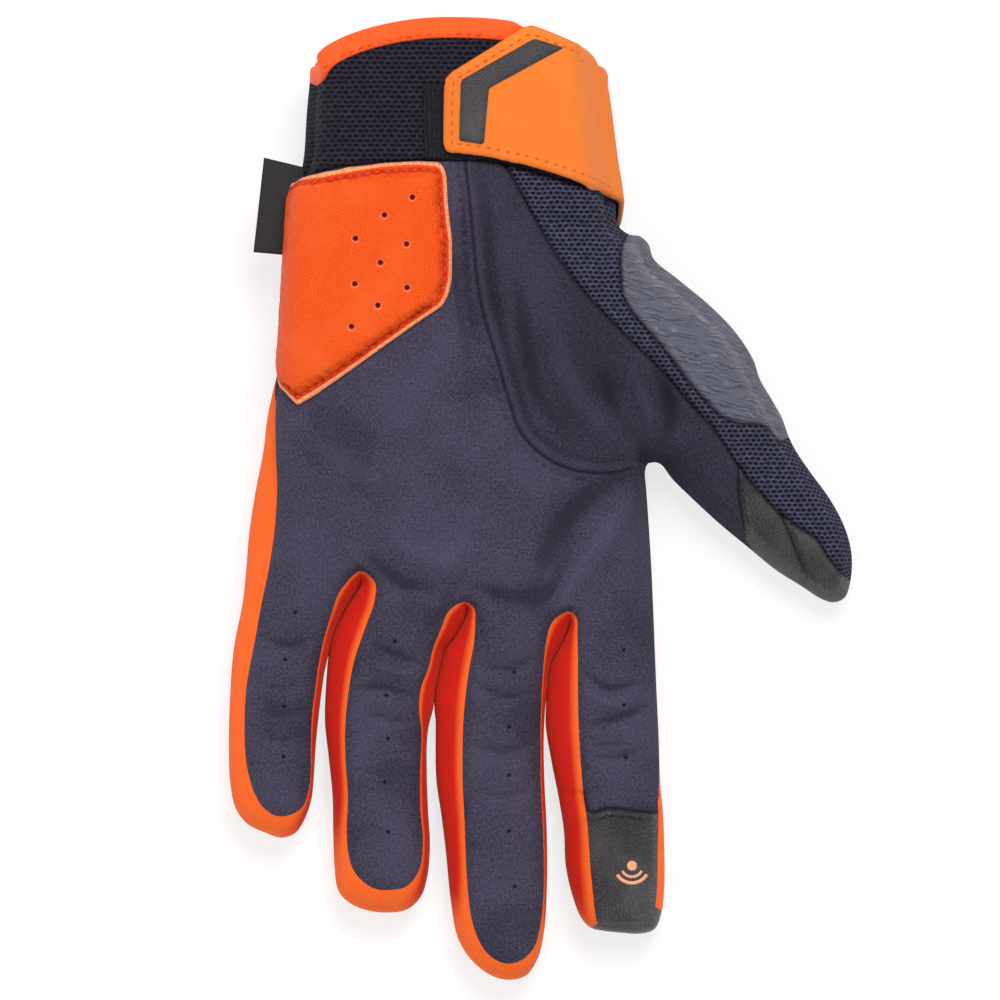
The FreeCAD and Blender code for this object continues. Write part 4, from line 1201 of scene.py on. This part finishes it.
def suede(name, base, dark, light):
    """Brushed synthetic suede: a short nap with pale tufts, clouded where it was brushed another way, with
    painted highlight on the folds and painted shade down in the creases."""
    f = Finish(name, roughness=0.95, specular=0.18, sheen_weight=0.1, sheen_roughness=0.45,
               sheen_tint=tint(150, 150, 185))
    cloth = f.cloth()
    nap = f.noise(cloth, 1.7, 4.0, 0.85, 0.4)
    tuft = f.noise(cloth, 0.42, 4.0, 0.75, 0.8)
    cloud = f.noise(cloth, 0.045, 3.0, 0.55)
    shade = f.mix(nap.ramp(0.34, 0.66), dark, light)
    shade = f.mix(tuft.ramp(0.36, 0.66, 0.5, 0.12), shade, base)
    shade = f.mix(cloud.ramp(0.42, 0.68, 0.0, 0.22), shade, light)
    shade = f.mix(cloud.ramp(0.32, 0.5, 0.3, 0.0), shade, dark)
    # painted shade in the creases and painted highlight on the folds, as the skin marks them
    crease_shade = f.mark("crease_shade")
    shade = f.mix(crease_shade.ramp(0.02, 0.48, 0.66, 0.0), shade, dark)
    shade = f.mix(crease_shade.ramp(0.52, 0.95, 0.0, 0.3), shade, light)
    hole = f.mark("hole")
    # dark seams, and the painted shadow in the valleys beside the palm's ridge welt
    shade = f.darken_seams(shade, 0.72, tint(14, 13, 22))
    f.colour(f.mix(hole.ramp(0.25, 0.8), shade, tint(18, 16, 24)))
    f.relief(nap * 0.7 + tuft * 0.8 - hole * 0.6, 0.34, 0.9)
    return f.material


def spacer_mesh(name, thread, hollow, wide=1.9, high=1.27, opened=1.0):
    """Knitted spacer mesh: rows of small openings between plump threads, never quite even, with painted
    highlight on the threads' crowns.
    """
    f = Finish(name, roughness=0.86, specular=0.2)
    cloth = f.cloth()
    across, along = f.across(cloth)
    drift, sway = f.noise(cloth, 0.32, 2.0), f.noise(f.place(along, across), 0.27, 2.0)
    uneven = f.noise(cloth, 0.6, 3.0, 0.6)
    u, v = f.lattice(f.place(across + drift * 0.7, along + sway * 0.6), wide, high)
    reach = ((u * 2.6) ** 2 + (v * 3.1) ** 2).root() + uneven * 0.3 - 0.15
    opening = reach.ramp(0.62 * opened, 1.05 * opened, 1.0, 0.0)
    knit = (across + along * 0.5).wave(0.46) * (along - across * 0.4).wave(0.52)
    # painted highlight on the threads' crowns between the openings
    crown = reach.ramp(0.95, 1.45) * uneven.ramp(0.34, 0.66, 0.25, 1.0)
    shade = f.mix(crown * 0.85, thread, brighter(thread, 2.3))
    shade = f.mix(knit.ramp(-0.7, 0.7, 0.0, 0.45), shade, hollow)
    shade = f.darken_seams(shade, 0.7, hollow)
    f.colour(f.mix(opening * 0.9, shade, hollow))
    f.relief(1 - opening + knit * 0.15 + uneven * 0.4, 0.5, 0.85)
    return f.material


def stretch_knit(name, bright, gap_shade):
    """Fine stretch knit with hair-thin ribs, with painted shade, a darker red, down in the gaps between
    fingers.
    """
    f = Finish(name, roughness=0.78, specular=0.25, sheen_weight=0.15, sheen_tint=tint(255, 170, 120))
    cloth = f.cloth()
    u, v = f.across(cloth)
    wobble = f.noise(cloth, 0.35, 2.0)
    rib = (u + v * 0.25 + wobble * 0.6).wave(0.62)
    fuzz = f.noise(cloth, 2.4, 2.0)
    shade = f.mix(fuzz.ramp(0.35, 0.75, 0.0, 0.3), bright, brighter(bright, 1.12))
    # painted shade: a darker red on the walls down in the gaps between fingers
    shade = f.mix(f.mark("gap_shade").ramp(0.04, 0.5), shade, gap_shade)
    shade = f.darken_seams(shade, 0.4, brighter(gap_shade, 0.5))
    f.colour(f.mix(rib.ramp(-1.0, 0.3, 0.24, 0.0), shade, brighter(gap_shade, 0.7)))
    f.relief(rib * 0.5 + fuzz, 0.12, 0.7)
    return f.material


def grained_leather(name, base, dark, light, grain=1.5, gloss=0.48, depth=0.14, holes=False, specular=0.4,
                    groove=None):
    """Synthetic leather with a pressed grain, paler where it is rubbed."""
    f = Finish(name, roughness=gloss, specular=specular)
    cloth = f.cloth()
    cell = f.pebbles(cloth, grain)
    fine = f.pebbles(cloth, grain * 2.3)
    rub = f.noise(cloth, 0.06, 3.0)
    tone = f.noise(cloth, 0.9, 2.0)
    shade = f.mix(cell.ramp(0.0, 0.12), dark, base)
    shade = f.mix(rub.ramp(0.42, 0.75, 0.0, 0.5), shade, light)
    shade = f.mix(tone.ramp(0.5, 0.8, 0.0, 0.25), shade, light)
    height = cell.ramp(0.0, 0.16) + fine.ramp(0.0, 0.2, 0.0, 0.4) + tone * 0.3
    shade = f.darken_seams(shade, 0.8, groove or brighter(dark, 0.3))
    if holes:
        hole = f.mark("hole")
        rim = hole.ramp(0.02, 0.16) * hole.ramp(0.2, 0.42, 1.0, 0.0)
        shade = f.mix(rim * 0.5, shade, tint(255, 150, 112))
        shade = f.mix(hole.ramp(0.26, 0.62), shade, tint(96, 10, 3))
        height = height - hole * 2
    f.colour(shade)
    f.rough(cell.ramp(0.0, 0.3, gloss + 0.16, gloss) + rub * 0.1)
    f.relief(height, depth, 0.75)
    return f.material


def creased_leather(name, base, dark, light):
    """Soft leather that has crept into fine wavy creases, all running one way, over a fine grain, with
    painted shade in the creases' troughs and painted highlight on their crests.
    """
    f = Finish(name, roughness=0.46, specular=0.42)
    cloth = f.cloth()
    u, v = f.across(cloth)
    along, over = u * 0.98 - v * 0.19, v * 0.98 + u * 0.19
    wander = f.noise(f.place(along * 0.11, over * 0.3), 1.0, 3.0, 0.6)
    strength = f.noise(f.place(along * 0.16 + 7.0, over * 0.55), 1.0, 2.0)
    wave = (over + wander * 4.7269).wave(1.35)
    small = (over + wander * 3.05896 + along * 0.049338).wave(0.62)
    crease_shade, strength = wave * 0.7 + small * 0.3, strength.ramp(0.36, 0.62, 0.15, 1.0)
    lit_crest, shaded_trough = crease_shade.ramp(0.15, 0.95) * strength, crease_shade.ramp(-0.95, -0.1, 1.0, 0.0) * strength
    grain = f.pebbles(cloth, 1.9).ramp(0.0, 0.15)
    # painted shade in the troughs and painted highlight on the crests
    shade = f.mix(shaded_trough * 0.75, base, dark)
    shade = f.mix(lit_crest * 0.7, shade, light)
    shade = f.mix(grain.ramp(0.0, 1.0, 0.18, 0.0), shade, dark)
    f.colour(f.darken_seams(shade, 0.75, brighter(dark, 0.3)))
    f.rough(lit_crest.ramp(0.0, 1.0, 0.55, 0.4))
    f.relief(lit_crest - shaded_trough * 0.8 + grain * 0.15, 0.36, 0.85)
    return f.material


def ribbed_tape(name, base, dark, pitch=1.05):
    """Woven tape with cross ribs."""
    f = Finish(name, roughness=0.7, specular=0.3, sheen_weight=0.1)
    cloth = f.cloth()
    u, v = f.across(cloth)
    wander = f.noise(cloth, 0.4, 2.0)
    rib = (u + v * 0.35 + wander * 0.7).wave(pitch)
    thread = (v + wander * 0.3).wave(0.34)
    shade = f.mix(rib.ramp(-1.0, 0.6, 0.45, 0.0), base, dark)
    f.colour(f.mix(wander.ramp(0.45, 0.75, 0.0, 0.3), shade, brighter(base, 1.25)))
    f.relief(rib * 0.5 + thread * 0.2, 0.1, 0.6)
    return f.material


def plush(name, base, light, per_mm=1.5, rows=False):
    """A fastener's face: a tangle of loops, or rows of hooks."""
    f = Finish(name, roughness=0.9, specular=0.2)
    cloth = f.cloth()
    if rows:
        u, v = f.lattice(cloth, 1.3, 1.3)
        tangle = ((u * 2.4) ** 2 + (v * 2.4) ** 2).root().ramp(0.3, 0.9, 1.0, 0.0)
    else:
        across, _ = f.across(cloth)
        rib = across.wave(1.1).ramp(-0.4, 0.8, 0.25, 1.0)
        tangle = f.noise(cloth, per_mm, 4.0, 0.75, 1.6).ramp(0.35, 0.7) * rib
    speck = f.noise(cloth, 3.1, 2.0)
    f.colour(f.mix(tangle * speck.ramp(0.3, 0.7, 0.3, 1.0), base, light))
    f.relief(tangle + speck * 0.5, 0.5, 0.9)
    return f.material


def woven(name, base, light, pitch=0.55):
    """Close woven cloth: threads over and under."""
    f = Finish(name, roughness=0.75, specular=0.3)
    cloth = f.cloth()
    u, v = f.across(cloth)
    over = u.wave(pitch) * v.wave(pitch)
    slub = f.noise(cloth, 0.7, 3.0)
    f.colour(f.mix(over.ramp(-0.6, 0.8, 0.0, 0.6) * slub.ramp(0.2, 0.8, 0.5, 1.0), base, light))
    f.relief(over * 0.5 + slub * 0.4, 0.14, 0.8)
    return f.material


def twisted_thread(name, base, dark):
    """Sewing thread: two plies wound round each other."""
    f = Finish(name, roughness=0.55, specular=0.4)
    u, v = f.across(f.cloth())
    ply = (u * 1.4 + v * 1.2).wave(0.5)
    f.colour(f.mix(ply.ramp(-1.0, 0.4, 0.5, 0.0), base, dark))
    f.relief(ply * 0.5, 0.08, 0.7)
    return f.material


def cut_edge(name, base, light):
    """The raw edge of a cut sheet: pale fibres in layers."""
    f = Finish(name, roughness=0.85, specular=0.2)
    cloth = f.cloth()
    fibre = f.noise(cloth, 1.6, 3.0, 0.7)
    f.colour(f.mix(fibre.ramp(0.3, 0.7), base, light))
    f.relief(fibre, 0.15, 0.8)
    return f.material


def plain_floor(name, colour):
    """A pale studio floor that keeps the glove's shadow."""
    f = Finish(name, roughness=0.9, specular=0.1)
    f.colour(colour)
    glow = f.node("ShaderNodeEmission", inputs={"Color": (1, 1, 1, 1), "Strength": 1.0})
    seen = f.node("ShaderNodeLightPath", output=0) + f.node("ShaderNodeLightPath", output=3)
    body = Wire(f, f.shader.outputs[0])
    both = f.node("ShaderNodeMixShader", inputs={0: seen.ramp(0.0, 1.0, 0.0, 0.72), 1: body, 2: glow})
    f.plug(f.tree.nodes["Material Output"].inputs["Surface"], both)
    return f.material


def cut_finishes(colours):
    """Every finish of the glove, by name."""
    suede_base = tuple(colours.suede) + (1.0,)
    orange = tuple(colours.stretch) + (1.0,)
    strap = tuple(colours.strap) + (1.0,)
    return {
        "suede": suede("Brushed suede", suede_base, brighter(suede_base, 0.3), brighter(suede_base, 2.0)),
        # the thumb's suede is the palm's suede made darker, as painted shade on the thumb side of the ridge
        "thumb_suede": suede("Brushed suede, thumb", brighter(suede_base, 0.62), brighter(suede_base, 0.18),
                             brighter(suede_base, 1.35)),
        "cuff_mesh": spacer_mesh("Cuff mesh", tint(36, 33, 46), tint(4, 3, 8), 1.75, 1.2),
        "thumb_mesh": spacer_mesh("Thumb mesh", tint(60, 60, 80), tint(6, 6, 12), 1.5, 1.15, 1.12),
        # its second colour is the darker red of the painted shade in the gaps between fingers, also darkened
        # for seams and ribs
        "stretch": stretch_knit("Orange stretch knit", orange, tint(206, 14, 0)),
        "back": stretch_knit("Dark stretch knit", tint(54, 54, 74), tint(40, 40, 58)),
        "heel": grained_leather("Heel leather", tint(255, 90, 2), tint(226, 58, 0), tint(255, 102, 34), 1.6,
                                0.5, 0.16, True, 0.28, tint(196, 24, 0)),
        "strap": grained_leather("Strap leather", strap, brighter(strap, 0.82), brighter(strap, 1.08), 1.6,
                                 0.5, 0.14, specular=0.26),
        "print": grained_leather("Grained print", tint(66, 62, 66), tint(36, 34, 38), tint(86, 82, 86), 1.3,
                                 0.5, 0.10),
        "guard": creased_leather("Guard leather", tint(88, 89, 103), tint(52, 52, 64), tint(128, 129, 144)),
        "tip": grained_leather("Tip leather", tint(54, 51, 54), tint(10, 9, 12), tint(94, 90, 94), 1.15, 0.27,
                               0.3, specular=0.55),
        "binding": ribbed_tape("Binding tape", tint(255, 92, 20), tint(226, 58, 4), 0.8),
        "lining": woven("Cuff lining", tint(34, 34, 46), tint(66, 66, 84)),
        "loop": plush("Loop pile", tint(22, 22, 28), tint(84, 84, 92)),
        "hook": plush("Hook face", tint(28, 28, 32), tint(80, 80, 86), rows=True),
        "label": woven("Label tape", tint(34, 32, 36), tint(62, 60, 66), 0.62),
        "orange_thread": twisted_thread("Orange thread", tint(238, 84, 30), tint(176, 40, 6)),
        "strap_thread": twisted_thread("Strap thread", tint(224, 98, 38), tint(150, 52, 14)),
        "dark_thread": twisted_thread("Dark thread", tint(40, 38, 54), tint(16, 15, 24)),
        "black_thread": twisted_thread("Black thread", tint(20, 18, 22), tint(4, 4, 6)),
        "orange_edge": cut_edge("Cut leather edge", tint(236, 118, 62), tint(255, 182, 136)),
        "dark_edge": cut_edge("Cut dark edge", tint(40, 38, 44), tint(82, 80, 88)),
        "touch_mark": grained_leather("Touch mark", tint(246, 160, 116), tint(214, 112, 74),
                                      tint(255, 190, 150), 1.4, 0.5, 0.06),
    }


# ---------------------------------------------------------------- the glove's pieces

PALM = ("palm",)
MIDDLE_REACH = 6        # mm before and after a middle knuckle over which the cloth turns


@functools.cache
def glove():
    """The skin, the cuff and the finishes, made once and shared by the operators."""
    skin = Skin()
    return skin, Cuff(skin), cut_finishes(bpy.context.scene.glove_colours)


def finish_piece(thing, finishes, bodies, slot, *replaced):
    """Dresses a piece in finishes, hangs it on one body or leaves a piece that spans a joint in the frame,
    and hides the CAD parts that it stands for. The finishes are one string of names, one for each slot of the
    mesh."""
    for finish in finishes.split():
        thing.data.materials.append(glove()[2][finish])
    if len(bodies) == 1:
        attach(thing, bodies[0])
    else:
        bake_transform(thing)
    if replaced:
        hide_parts(*replaced)
    return thing


def blend_over(digit, which, before, after):
    """The stretch of a digit over which its cloth turns, at a hinge, from one body to the next."""
    point, run = hinge(digit, which)
    bodies = ("palm", f"{digit}_base") if which == "knuckle" else (f"{digit}_base", f"{digit}_tip")
    return bodies + (tuple((point + run * before) * MM), tuple((point + run * after) * MM))


def at_middle(digit):
    """The turn of a digit's cloth at its middle knuckle."""
    return blend_over(digit, "middle_knuckle", -MIDDLE_REACH, MIDDLE_REACH)


def sew(name, label, body, finish, slot, *replaced):
    """Makes the part of a panel that lies on one body: a piece on the palm is hung there, one on a digit is
    left in the frame.
    """
    skin = glove()[0]
    digit, _, part = body.rpartition("_")
    bodies = PALM
    if part == "base":
        bodies = blend_over(digit, "knuckle", *skin.turn[digit])
    elif part == "tip":
        bodies = at_middle(digit)
    return finish_piece(skin.piece(name, label, body), finish, bodies, slot, *replaced)


def thread_row(name, line, bodies, finish, slot, **sizes):
    """A row of stitches on the skin, along a line in the plan."""
    path, normals = lay(glove()[1].tree, evenly(line, 0.7))
    finish_piece(stitches(name, path, normals, **sizes), finish, bodies, slot)


def touch_mark(bodies):
    """The sign of a touch-screen fingertip: a dot with two arcs under it, printed on the patch."""
    centre = spots([(63.2, 12.2)])[0]
    for name, radius, half_width, start, end in (("dot", 0.0, 1.25, 0, 360), ("arc", 2.75, 0.34, 208, 332),
                                                 ("wide_arc", 4.3, 0.42, 211, 329)):
        turns = np.radians(np.linspace(start, end, 25))
        ways = np.column_stack([np.cos(turns), np.sin(turns)])
        outer, inner = centre + (radius + half_width) * ways, centre + (radius - half_width) * ways[::-1]
        flat, triangles = flat_mesh(np.vstack([outer, inner]) if radius else outer[:-1], [], 0.5)
        mark = cut_sheet(f"touch_{name}", glove()[1].tree, flat, triangles, 0.10, 0.15)
        finish_piece(mark, "touch_mark", bodies, "tip_leather")


class GloveSizes(bpy.types.PropertyGroup):
    """Sizes of the glove's trims."""
    strap_thickness: FloatProperty(
        name="Strap thickness", description="Thickness of the wrist strap's leather", default=0.0013,
        min=0.0008, max=0.003, unit="LENGTH")
    pad_height: FloatProperty(
        name="Pad height", description="How far the padded heel patch stands up from the palm",
        default=0.0034, min=0.001, max=0.006, unit="LENGTH")
    tape_height: FloatProperty(
        name="Binding height", description="How far the binding reaches past the cuff's cloth",
        default=0.0033, min=0.001, max=0.005, unit="LENGTH")
    stitch_length: FloatProperty(
        name="Stitch length", description="Length of one stitch in the orange seams", default=0.0015,
        min=0.001, max=0.005, unit="LENGTH")


class GloveColours(bpy.types.PropertyGroup):
    """Colours of the glove's main cloths."""
    suede: FloatVectorProperty(
        name="Suede", description="Colour of the palm's brushed suede", subtype="COLOR",
        default=tint(62, 58, 75)[:3], min=0, max=1)
    stretch: FloatVectorProperty(
        name="Stretch knit", description="Colour of the knit between and beside the fingers", subtype="COLOR",
        default=tint(255, 106, 30)[:3], min=0, max=1)
    strap: FloatVectorProperty(
        name="Strap", description="Colour of the wrist strap's leather", subtype="COLOR",
        default=tint(255, 132, 44)[:3], min=0, max=1)


class GLOVE_OT_palm(bpy.types.Operator):
    """Sews the suede palm, the side panel and the back of the hand"""
    bl_idname = "glove.palm"
    bl_label = "Palm, side and back"

    def execute(self, context):
        sew("palm_suede", "suede", "palm", "suede", "suede", "palm_panel")
        sew("side_knit", "side", "palm", "stretch", "stretch", "outer_side_panel")
        sew("back_knit", "back", "palm", "back", "stretch", "back_panel")
        ridge = beside(glove()[0].lines["ridge"], 3.0)[3:-4]
        thread_row("ridge_stitches", ridge, PALM, "dark_thread", "suede", length=1.7, gap=0.9, radius=0.24)
        return {"FINISHED"}


class GLOVE_OT_fingers(bpy.types.Operator):
    """Sews the four finger stalls, each in two lengths that meet between its joints"""
    bl_idname = "glove.fingers"
    bl_label = "Fingers"

    def execute(self, context):
        for digit in FINGERS:
            for part in ("base", "tip"):
                body = f"{digit}_{part}"
                sew(f"{body}_suede", "suede", body, "suede", "suede", f"{digit}_front_{part}")
                sew(f"{body}_walls", "side", body, "stretch", "stretch",
                    f"{digit}_outer_side_{part}", f"{digit}_inner_side_{part}")
                sew(f"{body}_back", "back", body, "back", "stretch", f"{digit}_back_{part}")
        sew("index_touch_patch", "index_patch", "index_tip", "tip", "tip_leather", "index_tip_patch")
        turn = at_middle("index")
        patch = beside(glove()[0].lines["patch"], STITCHED["patch"])[7:-3]
        thread_row("touch_patch_stitches", patch, turn, "black_thread", "tip_leather", length=1.5, gap=0.8,
                   radius=0.3, sink=0.0)
        touch_mark(turn)
        return {"FINISHED"}


class GLOVE_OT_thumb(bpy.types.Operator):
    """Sews the thumb: suede, mesh, the leather guard over its root, and the tip's leather"""
    bl_idname = "glove.thumb"
    bl_label = "Thumb"

    def execute(self, context):
        sew("thumb_suede", "thumb_suede", "palm", "thumb_suede", "suede", "thumb_panel")
        sew("thumb_root_mesh", "thumb_mesh", "palm", "thumb_mesh", "cuff_mesh", "thumb_mesh")
        sew("thumb_guard_leather", "guard", "palm", "guard", "guard_leather", "thumb_guard")
        for part in ("base", "tip"):
            body = f"thumb_{part}"
            sew(f"{body}_suede", "thumb_suede", body, "thumb_suede", "suede", f"thumb_front_{part}")
            sew(f"{body}_mesh", "thumb_mesh", body, "thumb_mesh", "cuff_mesh",
                f"thumb_outer_mesh_{part}", f"thumb_back_mesh_{part}")
        sew("thumb_base_guard", "guard", "thumb_base", "guard", "guard_leather", "thumb_guard_base")
        sew("thumb_guard_end", "guard", "thumb_tip", "guard", "guard_leather")
        sew("thumb_patch_root", "tip_patch", "thumb_base", "tip", "tip_leather")
        sew("thumb_tip_leather", "tip_patch", "thumb_tip", "tip", "tip_leather", "thumb_tip_patch")
        sew("thumb_tip_cap_leather", "tip_cap", "thumb_tip", "tip", "tip_leather", "thumb_tip_cap")
        lines = glove()[0].lines
        thread_row("mesh_seam_stitches", beside(lines["mesh"][:-70], -1.6)[4:], PALM, "dark_thread", "suede",
                   length=1.7, gap=1.0, radius=0.2)
        for line in ("tip_1", "tip_2"):
            thread_row(f"thumb_{line}_stitches", beside(lines[line], 1.1)[2:-2], at_middle("thumb"),
                       "dark_thread", "tip_leather", length=1.5, gap=0.9, radius=0.2)
        return {"FINISHED"}


class GLOVE_OT_cuff(bpy.types.Operator):
    """Makes the mesh cuff, its lining, the binding at its mouth and the woven label"""
    bl_idname = "glove.cuff"
    bl_label = "Cuff"

    def execute(self, context):
        cuff, sizes = glove()[1], context.scene.glove_sizes
        sew("cuff_mesh", "cuff", "palm", "cuff_mesh", "cuff_mesh", "cuff_palm_mesh", "cuff_back_mesh")
        pressed_from, sewn_to = spots([(44, 95), (46, 95)])[:, 0]
        tape, (loop, out, up) = binding_tape("cuff_binding_tape", cuff, pressed_from, -1.9,
                                             sizes.tape_height / MM)
        finish_piece(tape, "binding", PALM, "binding", "cuff_binding")
        front = np.flatnonzero((out[:, 2] > 0.6) & (loop[:, 0] < sewn_to))
        front = front[np.argsort((loop + out - up * 0.9)[front, 0])]
        row = stitches("binding_stitches", (loop + out - up * 0.9)[front], out[front], length=1.5, gap=0.9,
                       radius=0.22)
        finish_piece(row, "orange_thread", PALM, "binding")
        finish_piece(cuff_lining("cuff_lining", cuff), "lining", PALM, "cuff_mesh")
        low, high = (corner[2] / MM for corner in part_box("label_tag"))
        low_left, low_right, top_right, top_left = spots(LABEL)
        along, across = (share[..., None] for share in np.meshgrid(
            np.linspace(0, 1, 22), np.linspace(0, 1, 14), indexing="ij"))
        plan = ((1 - across) * (1 - along) * top_left + across * (1 - along) * top_right
                + (1 - across) * along * low_left + across * along * low_right)
        z = (low + high) / 2 + 0.9 * np.sin(across * 2.4) - 0.5 * np.cos(along * 3.0) * (1 - across)
        tag, _ = grid_mesh("label_tape", np.dstack([plan, z]), 0.9, curl=0.25)
        finish_piece(tag, "label label dark_edge", PALM, "label", "label_tag")
        return {"FINISHED"}


class GLOVE_OT_heel(bpy.types.Operator):
    """Makes the padded leather patch on the heel of the hand, with its holes and stitching"""
    bl_idname = "glove.heel"
    bl_label = "Heel patch"

    def execute(self, context):
        tree, sizes = glove()[1].tree, context.scene.glove_sizes
        plan = even_ring(spots(HEEL), 0.9)
        cloth = Draped(tree, plan.min(0) - 1, plan.max(0) + 1)
        outline = even_ring(cloth.lay_out(plan), 0.9)
        edge, border, channel = (beside(outline, distance, ring=True) for distance in (0.85, 1.65, 2.3))
        holes = cloth.lay_out(spots(HEEL_HOLES))
        flat, triangles = flat_mesh(outline, [closed(line) for line in (edge, border, channel)], 1.15,
                                    dots_round(holes, ((0, 1), (0.35, 7), (0.7, 9), (1.2, 12))))
        ground, normals = cloth.drape(flat), cloth.normals(flat)
        rim, groove, gap = (nearest(flat, closed(line))[0] for line in (outline, border, channel))
        within = inside(flat, channel)
        swell = swelling(flat, triangles, (np.arange(len(flat)) < len(outline)) | ~within)
        full = sizes.pad_height / MM * np.clip(normals[:, 2] * 1.15, 0.35, 1)
        marks, dip = pierce(flat, holes, 1.35, 0.7, 1.1, 0.6)
        lift = 1.3 + full * (1 - np.exp(-swell / 2.3)) * within - dip
        lift -= 0.5 * bell(gap, 0.6) + 0.4 * bell(rim, 0.35)
        vertices, faces, slots = shell_of(ground + normals * lift[:, None], triangles, 1.9, normals)
        slots[:len(triangles)] = np.where(inside(flat[triangles].mean(1), edge), 0, 2)
        patch = make_mesh("heel_patch_leather", vertices, faces, np.vstack([flat, flat]),
                          marks={"hole": np.append(marks, 0 * marks),
                                 "seam": np.append(bell(groove, 0.5), 0 * marks)}, slots=slots)
        finish_piece(patch, "heel orange_edge orange_edge", PALM, "heel_leather", "heel_patch", "heel_foam")
        line = evenly(closed(border), 0.7)
        under = [closest(flat, point) for point in line]
        row = stitches("heel_stitches", cloth.drape(line) + (normals * lift[:, None])[under], normals[under],
                       length=sizes.stitch_length / MM, gap=0.8, radius=0.28, sink=-0.05)
        finish_piece(row, "orange_thread", PALM, "heel_leather")
        return {"FINISHED"}


class GLOVE_OT_strap(bpy.types.Operator):
    """Makes the wrist strap with its print, hook face and stitching, and the loop pad under it"""
    bl_idname = "glove.strap"
    bl_label = "Wrist strap"

    def execute(self, context):
        cuff, sizes = glove()[1], context.scene.glove_sizes
        thick = sizes.strap_thickness / MM
        grid = strap_grid(cuff, 3.2)
        x, y, z = JOINTS["strap_hinge"]["pos_m"]
        turn = ("palm", "strap", (x + 2 * MM, y, z), (x - 8 * MM, y, z))
        strap, normals = grid_mesh("strap_leather", grid, thick)
        finish_piece(strap, "strap lining orange_edge", turn, "strap_leather", "strap_base", "strap_tab")
        tree = search_tree(grid.reshape(-1, 3), cells(numbered(*grid.shape[:2])))
        loop = np.vstack([evenly(spots(STRAP_TOP), 0.7)[::-1], evenly(spots(STRAP_LOW), 0.7)])
        path, up = lay(tree, evenly(beside(loop, 2.1)[4:-4], 0.6))
        level = np.flatnonzero(up[:, 2] > 0.3)
        seen = slice(level[0], level[-1] + 1)
        row = stitches("strap_stitches", path[seen], up[seen], length=sizes.stitch_length / MM, gap=0.9,
                       radius=0.26)
        finish_piece(row, "strap_thread", turn, "strap_leather")
        flat, triangles = flat_mesh(round_loop(spots(PRINT), 0.5, 0.9), [], 1.3)
        chevron = cut_sheet("strap_chevron", tree, flat, triangles, 0.22, 0.3)
        finish_piece(chevron, "print", turn, "strap_print", "strap_print")
        under = grid[3:-3, 3:26] - normals[3:-3, 3:26] * (thick + 0.15)
        hook, _ = grid_mesh("strap_hook_face", under, 0.9, curl=0.1)
        finish_piece(hook, "strap_thread hook hook", ("strap",), "hook", "hook_patch")
        top, _, _, low = spots(LOOP)
        pad = [lay(cuff.tree, [(x, y) for x in np.linspace(left, left + 17, 18)], 1.15)[0]
               for left, y in np.linspace(low, top, 26)]
        pile, _ = grid_mesh("loop_pile", np.array(pad), 0.9, curl=0.35)
        finish_piece(pile, "loop loop loop", PALM, "loop", "loop_pad")
        return {"FINISHED"}


class GLOVE_OT_studio(bpy.types.Operator):
    """Sets the pale floor, soft light and the camera over the palm"""
    bl_idname = "glove.studio"
    bl_label = "Studio"

    def execute(self, context):
        scene = context.scene
        floor = make_mesh("floor", [(-900, -900, 0), (900, -900, 0), (900, 900, 0), (-900, 900, 0)],
                          [(0, 1, 2, 3)], [np.array([(0, 0), (1, 0), (1, 1), (0, 1)])])
        floor.location.z = -0.0002
        floor.data.materials.append(plain_floor("Studio floor", tint(252, 252, 252)))
        camera = bpy.data.objects.new("camera", bpy.data.cameras.new("camera"))
        scene.collection.objects.link(camera)
        camera.location = (-12.16 * MM, 0.415 * MM, 3.0)
        camera.data.sensor_width, camera.data.lens = 36.0, 432.0
        camera.data.clip_end = 20.0
        scene.camera = camera
        for name, place, size, power in (("key", (0.3, 1.1, 1.75), 0.9, 34.0),
                                         ("fill", (-1.3, -0.3, 1.5), 1.6, 9.0),
                                         ("front", (0.1, -1.2, 1.2), 1.2, 5.0)):
            lamp = bpy.data.lights.new(name, "AREA")
            lamp.size, lamp.energy = size, power
            thing = bpy.data.objects.new(name, lamp)
            scene.collection.objects.link(thing)
            thing.location = place
            thing.rotation_euler = (-Vector(place)).to_track_quat("-Z", "Y").to_euler()
        world = bpy.data.worlds.new("studio")
        world.use_nodes = True
        scene.world = world
        sky = world.node_tree.nodes["Background"].inputs
        sky["Color"].default_value, sky["Strength"].default_value = (1, 1, 1, 1), 0.38
        scene.view_settings.view_transform = "Standard"
        return {"FINISHED"}


OPERATORS = (GLOVE_OT_palm, GLOVE_OT_fingers, GLOVE_OT_thumb, GLOVE_OT_cuff, GLOVE_OT_heel, GLOVE_OT_strap,
             GLOVE_OT_studio)


class GLOVE_PT_panel(bpy.types.Panel):
    """Lists the glove's sizes, colours and makers"""
    bl_idname = "GLOVE_PT_panel"
    bl_label = "Work glove"
    bl_space_type = "VIEW_3D"
    bl_region_type = "UI"
    bl_category = "Work glove"

    def draw(self, context):
        for group in (context.scene.glove_sizes, context.scene.glove_colours):
            for name in group.__annotations__:
                self.layout.prop(group, name)
        for operator in OPERATORS:
            self.layout.operator(operator.bl_idname)


CLASSES = (GloveSizes, GloveColours) + OPERATORS + (GLOVE_PT_panel,)


def register():
    for item in CLASSES:
        bpy.utils.register_class(item)
    bpy.types.Scene.glove_sizes = PointerProperty(type=GloveSizes)
    bpy.types.Scene.glove_colours = PointerProperty(type=GloveColours)


def unregister():
    del bpy.types.Scene.glove_sizes, bpy.types.Scene.glove_colours
    for item in reversed(CLASSES):
        bpy.utils.unregister_class(item)


def main():
    register()
    for operator in OPERATORS:
        group, name = operator.bl_idname.split(".")
        getattr(getattr(bpy.ops, group), name)()
    bpy.context.view_layer.update()


if __name__ == "__main__":
    main()
